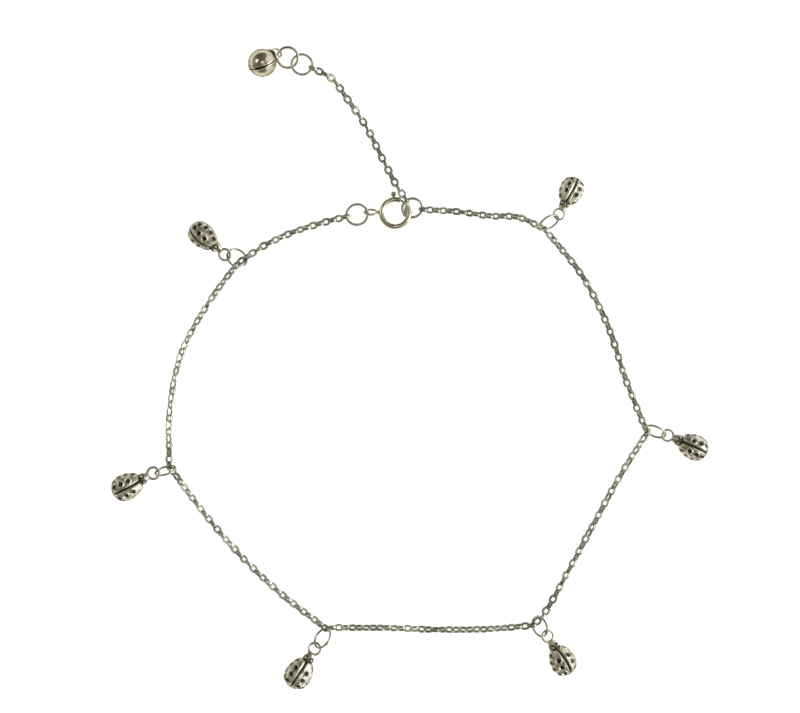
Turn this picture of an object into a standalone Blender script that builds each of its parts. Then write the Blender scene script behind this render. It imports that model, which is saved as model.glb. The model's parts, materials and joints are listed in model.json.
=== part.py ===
"""Payal anklet of sterling silver, lying as it would on a table.

A fine cable chain makes the loop. Six cast ladybird charms hang from it on jump rings, a bolt ring closes it, and a
short extension chain runs from the clasp to a small slit bell. Units are metres, +Z is up, the table is z = 0, and
+Y points from the middle of the loop to the bell's end.
"""

import math
from collections import namedtuple

import bmesh
import bpy
from mathutils import Matrix, Vector
from mathutils.bvhtree import BVHTree
from mathutils.geometry import interpolate_bezier

MM = 0.001

# Cable chain: oval links, each turned a quarter on its neighbour
LINK_WIRE = 0.26 * MM
LINK_PITCH = 1.12 * MM
LINK_WIDTH = 1.20 * MM
LINK_PRESS = 0.08 * MM
LINK_SIDES = 10
LINK_WIRE_SIDES = 5
CHAIN_DIAMETER = 1.10 * MM
CHAIN_NECK = 0.60 * MM
CHAIN_NECK_LENGTH = 1.6 * MM
CHAIN_RISE = 3.5 * MM
TUBE_STEP = 2.9 * MM
TUBE_SIDES = 6
CURVE_STEPS = 25
ROUTE_POINTS = 200

# Jump rings, outer diameter and wire
CHARM_RING_DIAMETER = 3.85 * MM
CHARM_RING_WIRE = 0.30 * MM
CLASP_RING_DIAMETER = 4.00 * MM
END_RING_DIAMETER = 3.80 * MM
BELL_RING_DIAMETER = 3.90 * MM
RING_WIRE = 0.36 * MM
RING_SIDES = 14
RING_WIRE_SIDES = 6
HOOK_PLAY = 0.10 * MM

# Ladybird charm, with its own origin in the middle of its eye ring, +Y from the tail to the eye ring
EYE_RING_DIAMETER = 2.38 * MM
EYE_RING_WIRE = 0.42 * MM
EYE_RING_HEIGHT = 1.45 * MM
EYE_RING_SIDES = 12
COLLAR_LENGTH = 0.35 * MM
COLLAR_WIDTH = 0.95 * MM
COLLAR_FLARE = 0.84
COLLAR_FLATNESS = 0.75
COLLAR_ROOT = 0.3
COLLAR_SIDES = 6
HEAD_LENGTH = 1.50 * MM
HEAD_WIDTH = 1.75 * MM
HEAD_HEIGHT = 1.75 * MM
HEAD_SINK = 0.95 * MM
HEAD_DROP = 0.08 * MM
HEAD_MESH = (8, 5)
EYE_DIAMETER = 0.72 * MM
EYE_SPACING = 0.98 * MM
EYE_RISE = 0.34
EYE_MESH = (6, 4)
BODY_LENGTH = 5.70 * MM
BODY_WIDTH = 4.20 * MM
BODY_HEIGHT = 3.75 * MM
BODY_TAPER = 0.18
BODY_MESH = (12, 8)
BELLY_CUT = 0.25 * MM
SPLIT_WIDTH = 0.16 * MM
SPLIT_DEPTH = 0.16 * MM
SPLIT_END = 0.90
SPOT_DIAMETER = 1.00 * MM
SPOT_RISE = 0.08 * MM
SPOT_SIDES = 6

# Where each spot sits on a wing: its distance from the body's front as a share of the body's length, and its angle
# in degrees from the wing split round to the belly
Spot = namedtuple("Spot", "share angle")
SPOTS = [
    Spot(0.42, 33),
    Spot(0.65, 34),
    Spot(0.86, 43),
    Spot(0.41, 82),
    Spot(0.62, 82),
]

# Bolt ring clasp: a hollow ring with a gap that a sprung bolt closes
CLASP_DIAMETER = 5.44 * MM
CLASP_TUBE = 0.86 * MM
CLASP_BORE = 0.54 * MM
BOLT_WIRE = 0.38 * MM
CLASP_CENTRE = Vector((-2.28, 25.75, 0.97)) * MM
CLASP_TILT = -8.0
CLASP_SEGMENTS = 24
CLASP_TUBE_SIDES = 8
BORE_MARGIN = 3.0
GAP_START = 17.0
GAP_END = 53.0
BOLT_ENTRY = 4.0
BOLT_TRAVEL = 38.0
KNOB_ANGLE = 79.0
KNOB_DIAMETER = 0.80 * MM
KNOB_STEM = 0.20 * MM
STEM_CLEARANCE = 0.06 * MM
KNOB_REACH = 0.50 * MM
KNOB_MESH = (8, 6)
BOLT_TAIL = 12.0
BOLT_SEGMENTS = 10
SLOT_PLAY = 4.0
SLOT_STEPS = 6
STOP_PLATE_START = 2.0
STOP_PLATE_SWEEP = 70.0
STOP_PLATE_SINK = 0.02 * MM
STOP_PLATE_THICKNESS = 0.24 * MM
STOP_PLATE_STEPS = 10
CLASP_EYE_LENGTH = 2.50 * MM
CLASP_EYE_WIDTH = 1.84 * MM
CLASP_EYE_WIRE = 0.38 * MM
CLASP_EYE_ANGLE = 161.0
CLASP_EYE_TWIST = 47.0
CLASP_EYE_SHANK = 0.12 * MM
SOLDER_SWELL = 1.2
SOLDER_MESH = (8, 6)
LOOP_SIDES = 14
LOOP_WIRE_SIDES = 6

# The clasp's two rings: the one at its back, and the one that it holds
END_RING_CENTRE = Vector((0.55, 26.60, 0.97)) * MM
END_RING_TILT = 22.0
END_RING_CHAIN_ANGLE = -8.0
END_RING_EXTENSION_ANGLE = 127.0
CLASP_RING_CENTRE = Vector((-8.65, 25.50, 0.85)) * MM
CLASP_RING_SLOPE = (-0.10, 0.30)
CLASP_RING_CHAIN_ANGLE = 190.0

# Slit bell
BELL_DIAMETER = 4.70 * MM
BELL_WALL = 0.28 * MM
BELL_MESH = (16, 10)
BELL_HOLLOW_MESH = (12, 8)
BELL_CENTRE = Vector((-24.42, 50.72)) * MM
BELL_HEADING = 35.3
BELL_DROOP = 31.0
BELL_SLIT_TURN = -1.0
BELL_SLIT_LEAN = 24.0
BELL_SLIT_WIDTH = 0.24 * MM
BELL_SLIT_REACH = 1.05 * MM
BELL_LIP_WIDTH = 0.70 * MM
BELL_LIP_RISE = 0.12 * MM
BELL_LIP_SIDES = 20
BELL_CAP_DIAMETER = 2.60 * MM
BELL_CAP_THICKNESS = 0.30 * MM
BELL_CAP_SIDES = 14
BELL_LOOP_DIAMETER = 2.10 * MM
BELL_LOOP_WIRE = 0.36 * MM
BELL_LOOP_TWIST = -14.3

# The two rings between the bell and the extension chain: centre, and the slope of the ring's plane along X and Y
OUTER_BELL_RING_CENTRE = Vector((-20.22, 51.68, 0.70)) * MM
OUTER_BELL_RING_SLOPE = (0.055, 0.163)
INNER_BELL_RING_CENTRE = Vector((-17.82, 50.52, 0.66)) * MM
INNER_BELL_RING_SLOPE = (-0.099, -0.197)
INNER_BELL_RING_CHAIN_ANGLE = -20.0

# Each charm: where its ring passes through the chain, the middle of its eye ring, the way its head points, its pitch
# and roll as it lies, how far its eye ring is twisted back against that roll, its size against the largest, because
# castings are filed by hand, and how far its jump ring leans over from the left side of the line from chain to charm
Charm = namedtuple("Charm", "station eye heading pitch roll twist size lean")
CHARMS = [
    Charm((-27.0, 18.4, 0.60), (-30.7, 18.8), -42.9, 2.0, 42.0, -22.0, 0.98, 32.0),
    Charm((-40.0, -16.4, 0.75), (-42.6, -17.6), 27.0, 2.0, 8.0, 0.0, 1.00, 68.0),
    Charm((-14.0, -43.4, 0.85), (-15.7, -46.85), 57.7, 0.0, 0.0, 0.0, 1.00, 52.0),
    Charm((20.5, -43.0, 0.60), (23.1, -44.7), 120.2, 10.0, 15.0, 0.0, 0.98, 36.0),
    Charm((39.7, -10.9, 1.00), (43.1, -11.3), 155.9, 10.0, 0.0, 0.0, 0.96, 58.0),
    Charm((22.8, 22.9, 1.20), (25.0, 25.5), 243.0, 13.0, -5.0, 0.0, 0.91, 55.0),
]
STATION_PULL = 0.15 * MM
EYE_PULL = 0.42 * MM

# The loop's route in millimetres, one row of points for each run between charms, from the clasp ring to the end ring
CHAIN_ROUTE = [
    [(-15.6, 23.8), (-20.0, 22.3), (-24.0, 20.4)],
    [(-28.6, 17.2), (-33.8, 10.1), (-38.0, 2.1), (-39.8, -6.8)],
    [(-34.3, -24.1), (-28.3, -31.1), (-21.6, -37.5)],
    [(-4.4, -43.4), (4.4, -43.7), (13.1, -43.6)],
    [(22.4, -41.3), (26.7, -33.7), (30.8, -26.1), (34.9, -18.6)],
    [(36.1, -1.8), (33.1, 7.1), (28.8, 15.4)],
    [(18.5, 25.0), (13.3, 25.3), (8.1, 26.0)],
]
EXTENSION_ROUTE = [(-2.0, 30.2), (-4.2, 34.4), (-7.1, 40.1), (-10.8, 45.5), (-12.9, 48.2)]

SILVER = (0.66, 0.66, 0.60, 1.0)


def clear_scene():
    for obj in list(bpy.data.objects):
        bpy.data.objects.remove(obj, do_unlink=True)


def new_collection(name):
    collection = bpy.data.collections.new(name)
    bpy.context.scene.collection.children.link(collection)
    return collection


def silver_for(name, roughness):
    material = bpy.data.materials.new(name + "_silver")
    material.use_nodes = True
    shader = material.node_tree.nodes["Principled BSDF"]
    shader.inputs["Base Color"].default_value = SILVER
    shader.inputs["Metallic"].default_value = 1.0
    shader.inputs["Roughness"].default_value = roughness
    return material


def mesh_object(name, mesh):
    obj = bpy.data.objects.new(name, mesh)
    bpy.context.scene.collection.objects.link(obj)
    return obj


def filed(obj, roughness=0.25):
    """Puts a finished piece in the anklet's collection, with its own material."""
    for collection in list(obj.users_collection):
        collection.objects.unlink(obj)
    ANKLET.objects.link(obj)
    if not obj.data.materials:
        obj.data.materials.append(silver_for(obj.name, roughness))
    return obj


def baked(obj):
    """The object with its modifiers applied and its transform kept."""
    bpy.context.view_layer.update()
    graph = bpy.context.evaluated_depsgraph_get()
    mesh = bpy.data.meshes.new_from_object(obj.evaluated_get(graph))
    shape = bmesh.new()
    shape.from_mesh(mesh)
    bmesh.ops.remove_doubles(shape, verts=shape.verts, dist=0.0005 * MM)
    shape.to_mesh(mesh)
    shape.free()
    result = mesh_object(obj.name + "_mesh", mesh)
    result.matrix_world = obj.matrix_world.copy()
    name = obj.name
    bpy.data.objects.remove(obj, do_unlink=True)
    result.name = name
    return result


def combined(base, others, operation):
    """One solid from a Boolean of the base with the other objects, which are used up."""
    tools = bpy.data.collections.new("tools")
    for other in others:
        tools.objects.link(other)
    cut = base.modifiers.new("combine", "BOOLEAN")
    cut.operand_type = "COLLECTION"
    cut.collection = tools
    cut.operation = operation
    cut.solver = "EXACT"
    result = baked(base)
    for other in others:
        bpy.data.objects.remove(other, do_unlink=True)
    bpy.data.collections.remove(tools)
    return result


def wire_along(name, points, diameter, sides, radii=None, closed=False):
    """A round wire along points, as a mesh. Its number of sides is even, from 4 up."""
    curve = bpy.data.curves.new(name, "CURVE")
    curve.dimensions = "3D"
    curve.bevel_depth = diameter / 2
    curve.bevel_resolution = sides // 2 - 2
    curve.use_fill_caps = not closed
    spline = curve.splines.new("POLY")
    spline.points.add(len(points) - 1)
    for i, point in enumerate(points):
        spline.points[i].co = (*point, 1.0)
        spline.points[i].radius = radii[i] if radii else 1.0
    spline.use_cyclic_u = closed
    return baked(mesh_object(name, curve))


def oval_wire(name, length, width, wire, sides, wire_sides):
    """A closed oval of wire in the XY plane, of the given outer length along X and outer width along Y."""
    points = []
    for i in range(sides):
        turn = 2 * math.pi * i / sides
        points.append(Vector((math.cos(turn) * (length - wire) / 2, math.sin(turn) * (width - wire) / 2, 0)))
    return wire_along(name, points, wire, wire_sides, closed=True)


def arc_wire(name, radius, start, end, wire, sides, segments):
    """A piece of round wire along an arc about the Z axis, from one angle in degrees to another."""
    points = []
    for i in range(segments + 1):
        turn = math.radians(start + (end - start) * i / segments)
        points.append(Vector((radius * math.cos(turn), radius * math.sin(turn), 0)))
    return wire_along(name, points, wire, sides)


def ball(name, centre, size, mesh_size):
    """An ellipsoid of the given length along each axis. Its mesh size is its segments and its rings."""
    bpy.ops.mesh.primitive_uv_sphere_add(segments=mesh_size[0], ring_count=mesh_size[1], radius=0.5)
    obj = bpy.context.object
    obj.name = name
    obj.data.transform(Matrix.Translation(centre) @ Matrix.Diagonal((*size, 1.0)))
    return obj


def frame_at(place, normal, heading):
    """A transform whose Z is the normal, and whose X is the part of the heading that lies across it."""
    z = Vector(normal).normalized()
    x = (Vector(heading) - z * Vector(heading).dot(z)).normalized()
    axes = Matrix((x, z.cross(x), z)).transposed()
    return Matrix.Translation(place) @ axes.to_4x4()


def sloped_frame(centre, slope):
    """The transform of a ring in a plane that rises by the two slopes along X and Y."""
    return frame_at(centre, (-slope[0], -slope[1], 1.0), (1.0, 0.0, 0.0))


def ring_point(frame, radius, angle):
    """The point of a ring's centre line that lies in the given compass direction, in degrees from +X."""
    out = Vector((math.cos(math.radians(angle)), math.sin(math.radians(angle)), 0))
    across = frame.to_3x3().inverted() @ out
    across.z = 0
    return frame @ (across.normalized() * radius)


def ring_tangent(frame, point):
    normal = frame.to_3x3() @ Vector((0, 0, 1))
    return normal.cross(point - frame.translation).normalized()


def jump_ring(name, frame, diameter, wire):
    bpy.ops.mesh.primitive_torus_add(
        major_segments=RING_SIDES,
        minor_segments=RING_WIRE_SIDES,
        major_radius=(diameter - wire) / 2,
        minor_radius=wire / 2,
    )
    ring = bpy.context.object
    ring.name = name
    ring.matrix_world = frame
    return filed(ring)


def smooth_curve(points, count):
    """Points at even steps along a smooth curve through the given ones."""
    guide = [points[0] * 2 - points[1], *points, points[-1] * 2 - points[-2]]
    headings = [(after - before).normalized() for before, after in zip(guide, guide[2:])]
    fine = [points[0]]
    for i in range(len(points) - 1):
        one, two = points[i], points[i + 1]
        handle = (two - one).length / 3
        near_one, near_two = one + headings[i] * handle, two - headings[i + 1] * handle
        fine += interpolate_bezier(one, near_one, near_two, two, CURVE_STEPS)[1:]
    lengths = [0.0]
    for one, two in zip(fine, fine[1:]):
        lengths.append(lengths[-1] + (two - one).length)
    result = []
    spot = 0
    for i in range(count):
        target = lengths[-1] * i / (count - 1)
        while spot < len(lengths) - 2 and lengths[spot + 1] < target:
            spot += 1
        share = (target - lengths[spot]) / (lengths[spot + 1] - lengths[spot])
        result.append(fine[spot].lerp(fine[spot + 1], share))
    return result


def flat_length(points):
    return sum((two - one).length for one, two in zip(points, points[1:]))


def laid_run(start, between, end, rest):
    """A run of chain from one raised end to another, with its middle line at the rest height in between."""
    middle = [Vector((x, y, 0)) * MM for x, y in between]
    flat = [Vector((start.x, start.y, 0)), *middle, Vector((end.x, end.y, 0))]
    fine = smooth_curve(flat, ROUTE_POINTS)
    total = flat_length(fine)
    step = total / (len(fine) - 1)
    raised = []
    for i, point in enumerate(fine):
        near_start = max(0.0, 1 - i * step / CHAIN_RISE)
        near_end = max(0.0, 1 - (total - i * step) / CHAIN_RISE)
        lift = (start.z - rest) * near_start**2 * (3 - 2 * near_start)
        lift += (end.z - rest) * near_end**2 * (3 - 2 * near_end)
        raised.append(Vector((point.x, point.y, rest + lift)))
    return raised


def along(points, distance):
    """The point at a distance along a fine line of points, and the direction there."""
    for one, two in zip(points, points[1:]):
        step = (two - one).length
        if distance <= step or two is points[-1]:
            return one.lerp(two, distance / step), (two - one).normalized()
        distance -= step
    return points[-1], (points[-1] - points[-2]).normalized()


def chain_link(name, place, normal, direction):
    """One oval link, its length along the chain's direction and its plane across the normal."""
    bpy.ops.mesh.primitive_torus_add(
        major_segments=LINK_SIDES,
        minor_segments=LINK_WIRE_SIDES,
        major_radius=(LINK_WIDTH - LINK_WIRE) / 2,
        minor_radius=LINK_WIRE / 2,
    )
    link = bpy.context.object
    link.name = name
    stretch = link_half() - (LINK_WIDTH - LINK_WIRE) / 2
    for vertex in link.data.vertices:
        vertex.co.x += math.copysign(stretch, vertex.co.x)
    direction = Vector(direction).normalized()
    across = (Vector(normal) - direction * Vector(normal).dot(direction)).normalized()
    link.matrix_world = frame_at(place, across, direction)
    return link


def link_half():
    """From a link's middle to the centre line of its wire at the end."""
    return (LINK_PITCH + LINK_WIRE - LINK_PRESS) / 2


def hooked_link(ring_frame, ring_diameter, angle, direction):
    """The middle and the normal of a link that hangs on a ring, reaching from it in a direction."""
    point = ring_point(ring_frame, (ring_diameter - RING_WIRE) / 2, angle)
    reach = link_half() - (LINK_WIRE + RING_WIRE) / 2 - HOOK_PLAY
    return point + Vector(direction).normalized() * reach, ring_tangent(ring_frame, point)


def charm_blank():
    """The ladybird casting, with its origin in the middle of its eye ring and its belly below."""
    floor = -EYE_RING_HEIGHT
    head_y = -(EYE_RING_DIAMETER / 2 + COLLAR_LENGTH + HEAD_LENGTH / 2 - EYE_RING_WIRE / 2)
    body_y = head_y - HEAD_LENGTH / 2 + HEAD_SINK - BODY_LENGTH / 2
    body_z = floor + BODY_HEIGHT / 2 - BELLY_CUT
    body = ball("charm_body", (0, 0, 0), (BODY_WIDTH, BODY_LENGTH, BODY_HEIGHT), BODY_MESH)
    shape_egg(body, body_y, body_z)
    skin = BVHTree.FromObject(body, bpy.context.evaluated_depsgraph_get())
    eye_size = (EYE_RING_DIAMETER, EYE_RING_DIAMETER, EYE_RING_WIRE)
    pieces = [
        ball("charm_head", (0, head_y, -HEAD_DROP), (HEAD_WIDTH, HEAD_LENGTH, HEAD_HEIGHT), HEAD_MESH),
        collar(head_y),
        oval_wire("charm_eye", *eye_size, EYE_RING_SIDES, LOOP_WIRE_SIDES),
    ]
    for side in (-1, 1):
        place = Vector((side * EYE_SPACING / 2, head_y, HEAD_HEIGHT * EYE_RISE))
        pieces.append(ball("charm_sight", place, (EYE_DIAMETER,) * 3, EYE_MESH))
        for spot in SPOTS:
            pieces.append(spot_boss(skin, spot, side, body_y, body_z))
    cutters = [wing_split(body, body_y, body_z)]
    charm = combined(body, pieces, "UNION")
    bpy.ops.mesh.primitive_cube_add(size=1)
    under = bpy.context.object
    size = 4 * BODY_LENGTH
    under.data.transform(Matrix.Translation((0, 0, floor - size / 2)) @ Matrix.Scale(size, 4))
    cutters.append(under)
    return combined(charm, cutters, "DIFFERENCE")


def shape_egg(body, body_y, body_z):
    """Narrows the front half of an ellipsoid that lies along Y, then moves it to its place."""
    for vertex in body.data.vertices:
        share = vertex.co.y / (BODY_LENGTH / 2)
        vertex.co.x *= 1 - BODY_TAPER * share
        vertex.co.z *= 1 - BODY_TAPER * share
    body.data.transform(Matrix.Translation((0, body_y, body_z)))


def collar(head_y):
    """The cone that narrows from the head to the eye ring."""
    front = -(EYE_RING_DIAMETER / 2 - EYE_RING_WIRE)
    back = head_y + HEAD_LENGTH * COLLAR_ROOT
    bpy.ops.mesh.primitive_cone_add(
        vertices=COLLAR_SIDES,
        radius1=HEAD_WIDTH * COLLAR_FLARE / 2,
        radius2=COLLAR_WIDTH / 2,
        depth=front - EYE_RING_WIRE / 2 - back,
    )
    cone = bpy.context.object
    middle = (front - EYE_RING_WIRE / 2 + back) / 2
    turn = Matrix.Rotation(-math.pi / 2, 4, "X")
    flat = Matrix.Diagonal((1, 1, COLLAR_FLATNESS, 1))
    cone.data.transform(Matrix.Translation((0, middle, 0)) @ flat @ turn)
    return cone


def spot_boss(skin, spot, side, body_y, body_z):
    """A low raised disc on the wing, square to the surface under it."""
    y = body_y + BODY_LENGTH * (0.5 - spot.share)
    turn = math.radians(spot.angle)
    ray = Vector((side * math.sin(turn), 0, math.cos(turn)))
    start = Vector((0, y, body_z))
    place, normal = skin.ray_cast(start, ray)[:2]
    bpy.ops.mesh.primitive_cone_add(
        vertices=SPOT_SIDES,
        radius1=SPOT_DIAMETER / 2,
        radius2=SPOT_DIAMETER / 2 - SPOT_RISE,
        depth=4 * SPOT_RISE,
    )
    boss = bpy.context.object
    boss.data.transform(frame_at(place - normal * SPOT_RISE, normal, (0, 1, 0)))
    return boss


def wing_split(body, body_y, body_z):
    """The cutter of the groove between the wings: a thin plate over the top, less the body's core."""
    core = mesh_object("charm_core", body.data.copy())
    middle = Matrix.Translation((0, body_y, body_z))
    shrink = Matrix.Diagonal((1, 1 - 2 * SPLIT_DEPTH / BODY_LENGTH, 1 - 2 * SPLIT_DEPTH / BODY_HEIGHT, 1))
    core.data.transform(middle @ shrink @ middle.inverted())
    bpy.ops.mesh.primitive_cube_add(size=1)
    plate = bpy.context.object
    length = BODY_LENGTH * SPLIT_END
    start = body_y + BODY_LENGTH / 2
    size = Matrix.Diagonal((SPLIT_WIDTH, length, BODY_HEIGHT, 1))
    plate.data.transform(Matrix.Translation((0, start - length / 2, body_z + BODY_HEIGHT / 2)) @ size)
    return combined(plate, [core], "DIFFERENCE")


def twist_eye(mesh, twist):
    """Turns the eye ring about the charm's length. The collar takes up the twist."""
    back = -EYE_RING_DIAMETER / 2 - COLLAR_LENGTH
    front = -EYE_RING_DIAMETER / 2 + EYE_RING_WIRE
    for vertex in mesh.vertices:
        share = min(max((vertex.co.y - back) / (front - back), 0.0), 1.0)
        vertex.co = Matrix.Rotation(math.radians(twist) * share, 3, "Y") @ vertex.co


def lying(mesh, charm):
    """The transform of a charm at its place, lowered until it touches the table."""
    turn = Matrix.Rotation(math.radians(charm.heading - 90), 4, "Z")
    turn @= Matrix.Rotation(math.radians(charm.pitch), 4, "X")
    turn @= Matrix.Rotation(math.radians(charm.roll), 4, "Y")
    lowest = min((turn @ vertex.co).z for vertex in mesh.vertices)
    return Matrix.Translation((charm.eye[0] * MM, charm.eye[1] * MM, -lowest)) @ turn


def charm_ring_frame(charm, charm_frame):
    """The jump ring through the chain's link and the charm's eye ring."""
    station = Vector(charm.station) * MM
    eye = charm_frame.translation
    reach = (station - eye).normalized()
    plane = charm_frame.to_3x3() @ Matrix.Rotation(math.radians(charm.twist), 3, "Y") @ Vector((0, 0, 1))
    inside = (reach - plane * reach.dot(plane)).normalized()
    far = eye + inside * EYE_PULL
    near = station - reach * STATION_PULL
    chord = far - near
    radius = (CHARM_RING_DIAMETER - CHARM_RING_WIRE) / 2
    side = Vector((0, 0, 1)).cross(chord).normalized()
    up = chord.cross(side).normalized()
    lean = math.radians(charm.lean)
    out = side * math.cos(lean) + up * math.sin(lean)
    centre = (near + far) / 2 + out * math.sqrt(radius**2 - (chord.length / 2) ** 2)
    return frame_at(centre, chord.cross(out), chord), near


def build_charms():
    """The six charms, all from one casting, and their jump rings. Gives each ring's hold on the chain."""
    blank = charm_blank()
    holds = []
    for i, charm in enumerate(CHARMS):
        bug = mesh_object(f"ladybird_{i + 1}", blank.data.copy())
        twist_eye(bug.data, charm.twist)
        bug.data.transform(Matrix.Scale(charm.size, 4))
        bug.matrix_world = lying(bug.data, charm)
        filed(bug, 0.35)
        frame, near = charm_ring_frame(charm, bug.matrix_world)
        jump_ring(f"charm_ring_{i + 1}", frame, CHARM_RING_DIAMETER, CHARM_RING_WIRE)
        holds.append(ring_tangent(frame, near))
    bpy.data.objects.remove(blank, do_unlink=True)
    return holds


def clasp_frame():
    """The bolt ring's own frame: X points to the end ring, and the ring tilts about it."""
    reach = END_RING_CENTRE - CLASP_CENTRE
    heading = math.atan2(reach.y, reach.x)
    turn = Matrix.Rotation(heading, 4, "Z")
    return Matrix.Translation(CLASP_CENTRE) @ turn @ Matrix.Rotation(math.radians(CLASP_TILT), 4, "X")


def end_ring_frame():
    reach = END_RING_CENTRE - CLASP_CENTRE
    turn = Matrix.Rotation(math.atan2(reach.y, reach.x), 4, "Z")
    return Matrix.Translation(END_RING_CENTRE) @ turn @ Matrix.Rotation(math.radians(END_RING_TILT), 4, "X")


def clasp_radius():
    return (CLASP_DIAMETER - CLASP_TUBE) / 2


def polar(radius, angle):
    return Vector((radius * math.cos(math.radians(angle)), radius * math.sin(math.radians(angle)), 0))


def clasp_eye_middle():
    """From the bolt ring's middle to the middle of its wire eye, in the bolt ring's frame."""
    return polar(CLASP_DIAMETER / 2 + CLASP_EYE_SHANK + CLASP_EYE_LENGTH / 2, CLASP_EYE_ANGLE)


def build_clasp():
    """The bolt ring with its eye and stop plate, and the bolt on its axis."""
    radius = clasp_radius()
    place = clasp_frame()
    sweep = 360 - (GAP_END - GAP_START)
    tube = arc_wire("bolt_ring", radius, GAP_END, GAP_END + sweep, CLASP_TUBE, CLASP_TUBE_SIDES, CLASP_SEGMENTS)
    eye = oval_wire("clasp_eye", CLASP_EYE_LENGTH, CLASP_EYE_WIDTH, CLASP_EYE_WIRE, LOOP_SIDES, LOOP_WIRE_SIDES)
    out = polar(1, CLASP_EYE_ANGLE)
    twist = Matrix.Rotation(math.radians(CLASP_EYE_TWIST), 3, out)
    eye.data.transform(frame_at(clasp_eye_middle(), twist @ Vector((0, 0, 1)), out))
    bead_size = (CLASP_EYE_SHANK + CLASP_EYE_WIRE) * SOLDER_SWELL
    bead = ball("solder", out * (CLASP_DIAMETER / 2 + CLASP_EYE_SHANK / 2), (bead_size,) * 3, SOLDER_MESH)
    ring = combined(tube, [eye, bead, stop_plate(radius)], "UNION")
    ends = (GAP_END - BORE_MARGIN, GAP_END + sweep + BORE_MARGIN)
    bore = arc_wire("bore", radius, *ends, CLASP_BORE, CLASP_TUBE_SIDES, CLASP_SEGMENTS)
    ring = combined(ring, [bore, thumb_slot(radius)], "DIFFERENCE")
    ring.matrix_world = place
    filed(ring)
    tip = GAP_START - BOLT_ENTRY
    bolt = arc_wire("bolt", radius, tip, KNOB_ANGLE + BOLT_TAIL, BOLT_WIRE, CLASP_TUBE_SIDES, BOLT_SEGMENTS)
    reach = radius + CLASP_TUBE / 2 + KNOB_REACH
    knob = ball("knob", polar(reach, KNOB_ANGLE), (KNOB_DIAMETER,) * 3, KNOB_MESH)
    stem = wire_along("stem", [polar(radius, KNOB_ANGLE), polar(reach, KNOB_ANGLE)], KNOB_STEM, LOOP_WIRE_SIDES)
    bolt = combined(bolt, [knob, stem], "UNION")
    axis = bpy.data.objects.new("bolt_axis", None)
    ANKLET.objects.link(axis)
    axis.matrix_world = place
    bolt.parent = axis
    filed(bolt)


def flat_plate(name, points, thickness):
    """A flat plate in the XY plane with the given outline."""
    outline = bpy.data.curves.new(name, "CURVE")
    outline.dimensions = "2D"
    outline.fill_mode = "BOTH"
    outline.extrude = thickness / 2
    spline = outline.splines.new("POLY")
    spline.points.add(len(points) - 1)
    for corner, point in zip(spline.points, points):
        corner.co = (*point, 1)
    spline.use_cyclic_u = True
    return baked(mesh_object(name, outline))


def stop_plate(radius):
    """The flat plate inside the ring that the bolt closes against: a segment of the ring cut by a chord."""
    edge = radius - CLASP_BORE / 2 - STOP_PLATE_SINK
    start, steps = GAP_START - STOP_PLATE_START, STOP_PLATE_STEPS
    points = [polar(edge, start - STOP_PLATE_SWEEP * i / steps) for i in range(steps + 1)]
    return flat_plate("stop_plate", points, STOP_PLATE_THICKNESS)


def thumb_slot(radius):
    """The cutter of the slot that the knob's stem slides in, open to the bore and to the outside."""
    start = KNOB_ANGLE - SLOT_PLAY
    sweep = BOLT_TRAVEL + 2 * SLOT_PLAY
    angles = [start + sweep * i / SLOT_STEPS for i in range(SLOT_STEPS + 1)]
    points = [polar(radius, angle) for angle in angles]
    points += [polar(radius + CLASP_TUBE, angle) for angle in reversed(angles)]
    return flat_plate("slot", points, KNOB_STEM + 2 * STEM_CLEARANCE)


def build_clasp_rings():
    """The ring that the clasp holds, and the ring through its eye. Gives both frames."""
    end_frame = end_ring_frame()
    jump_ring("end_ring", end_frame, END_RING_DIAMETER, RING_WIRE)
    frame = sloped_frame(CLASP_RING_CENTRE, CLASP_RING_SLOPE)
    jump_ring("clasp_ring", frame, CLASP_RING_DIAMETER, RING_WIRE)
    return frame, end_frame


def build_main_chain(holds, clasp_ring, end_ring):
    """The loop's chain: a real link at each end and at each charm, and tubes in between."""
    first = Vector((*CHAIN_ROUTE[0][0], 0)) * MM - clasp_ring.translation
    first.z = 0
    last = Vector((*CHAIN_ROUTE[-1][-1], 0)) * MM - end_ring.translation
    last.z = 0
    start, start_normal = hooked_link(clasp_ring, CLASP_RING_DIAMETER, CLASP_RING_CHAIN_ANGLE, first)
    end, end_normal = hooked_link(end_ring, END_RING_DIAMETER, END_RING_CHAIN_ANGLE, last)
    stops = [start, *[Vector(charm.station) * MM for charm in CHARMS], end]
    normals = [start_normal, *holds, end_normal]
    rest = CHAIN_DIAMETER / 2
    runs = [laid_run(stops[i], CHAIN_ROUTE[i], stops[i + 1], rest) for i in range(len(CHAIN_ROUTE))]
    pieces = []
    for i, stop in enumerate(stops):
        after = along(runs[i], LINK_PITCH)[0] if i < len(runs) else stop
        before = along(runs[i - 1], flat_length(runs[i - 1]) - LINK_PITCH)[0] if i > 0 else stop
        pieces.append(chain_link("link", stop, normals[i], after - before))
    for run in runs:
        pieces.append(chain_tube(run))
    chain = combined(pieces[0], pieces[1:], "UNION")
    chain.name = "main_chain"
    filed(chain)


def chain_tube(run):
    """The tube that stands for the links between two stops, narrower at its ends."""
    total = flat_length(run)
    trim = link_half() - LINK_WIRE / 4
    body = total - 2 * (trim + CHAIN_NECK_LENGTH)
    steps = round(body / TUBE_STEP)
    distances = [trim, trim + CHAIN_NECK_LENGTH / 2]
    distances += [trim + CHAIN_NECK_LENGTH + body * i / steps for i in range(steps + 1)]
    distances += [total - trim - CHAIN_NECK_LENGTH / 2, total - trim]
    neck = CHAIN_NECK / CHAIN_DIAMETER
    radii = [neck, neck, *[1.0] * (steps + 1), neck, neck]
    points = [along(run, distance)[0] for distance in distances]
    return wire_along("tube", points, CHAIN_DIAMETER, TUBE_SIDES, radii)


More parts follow.
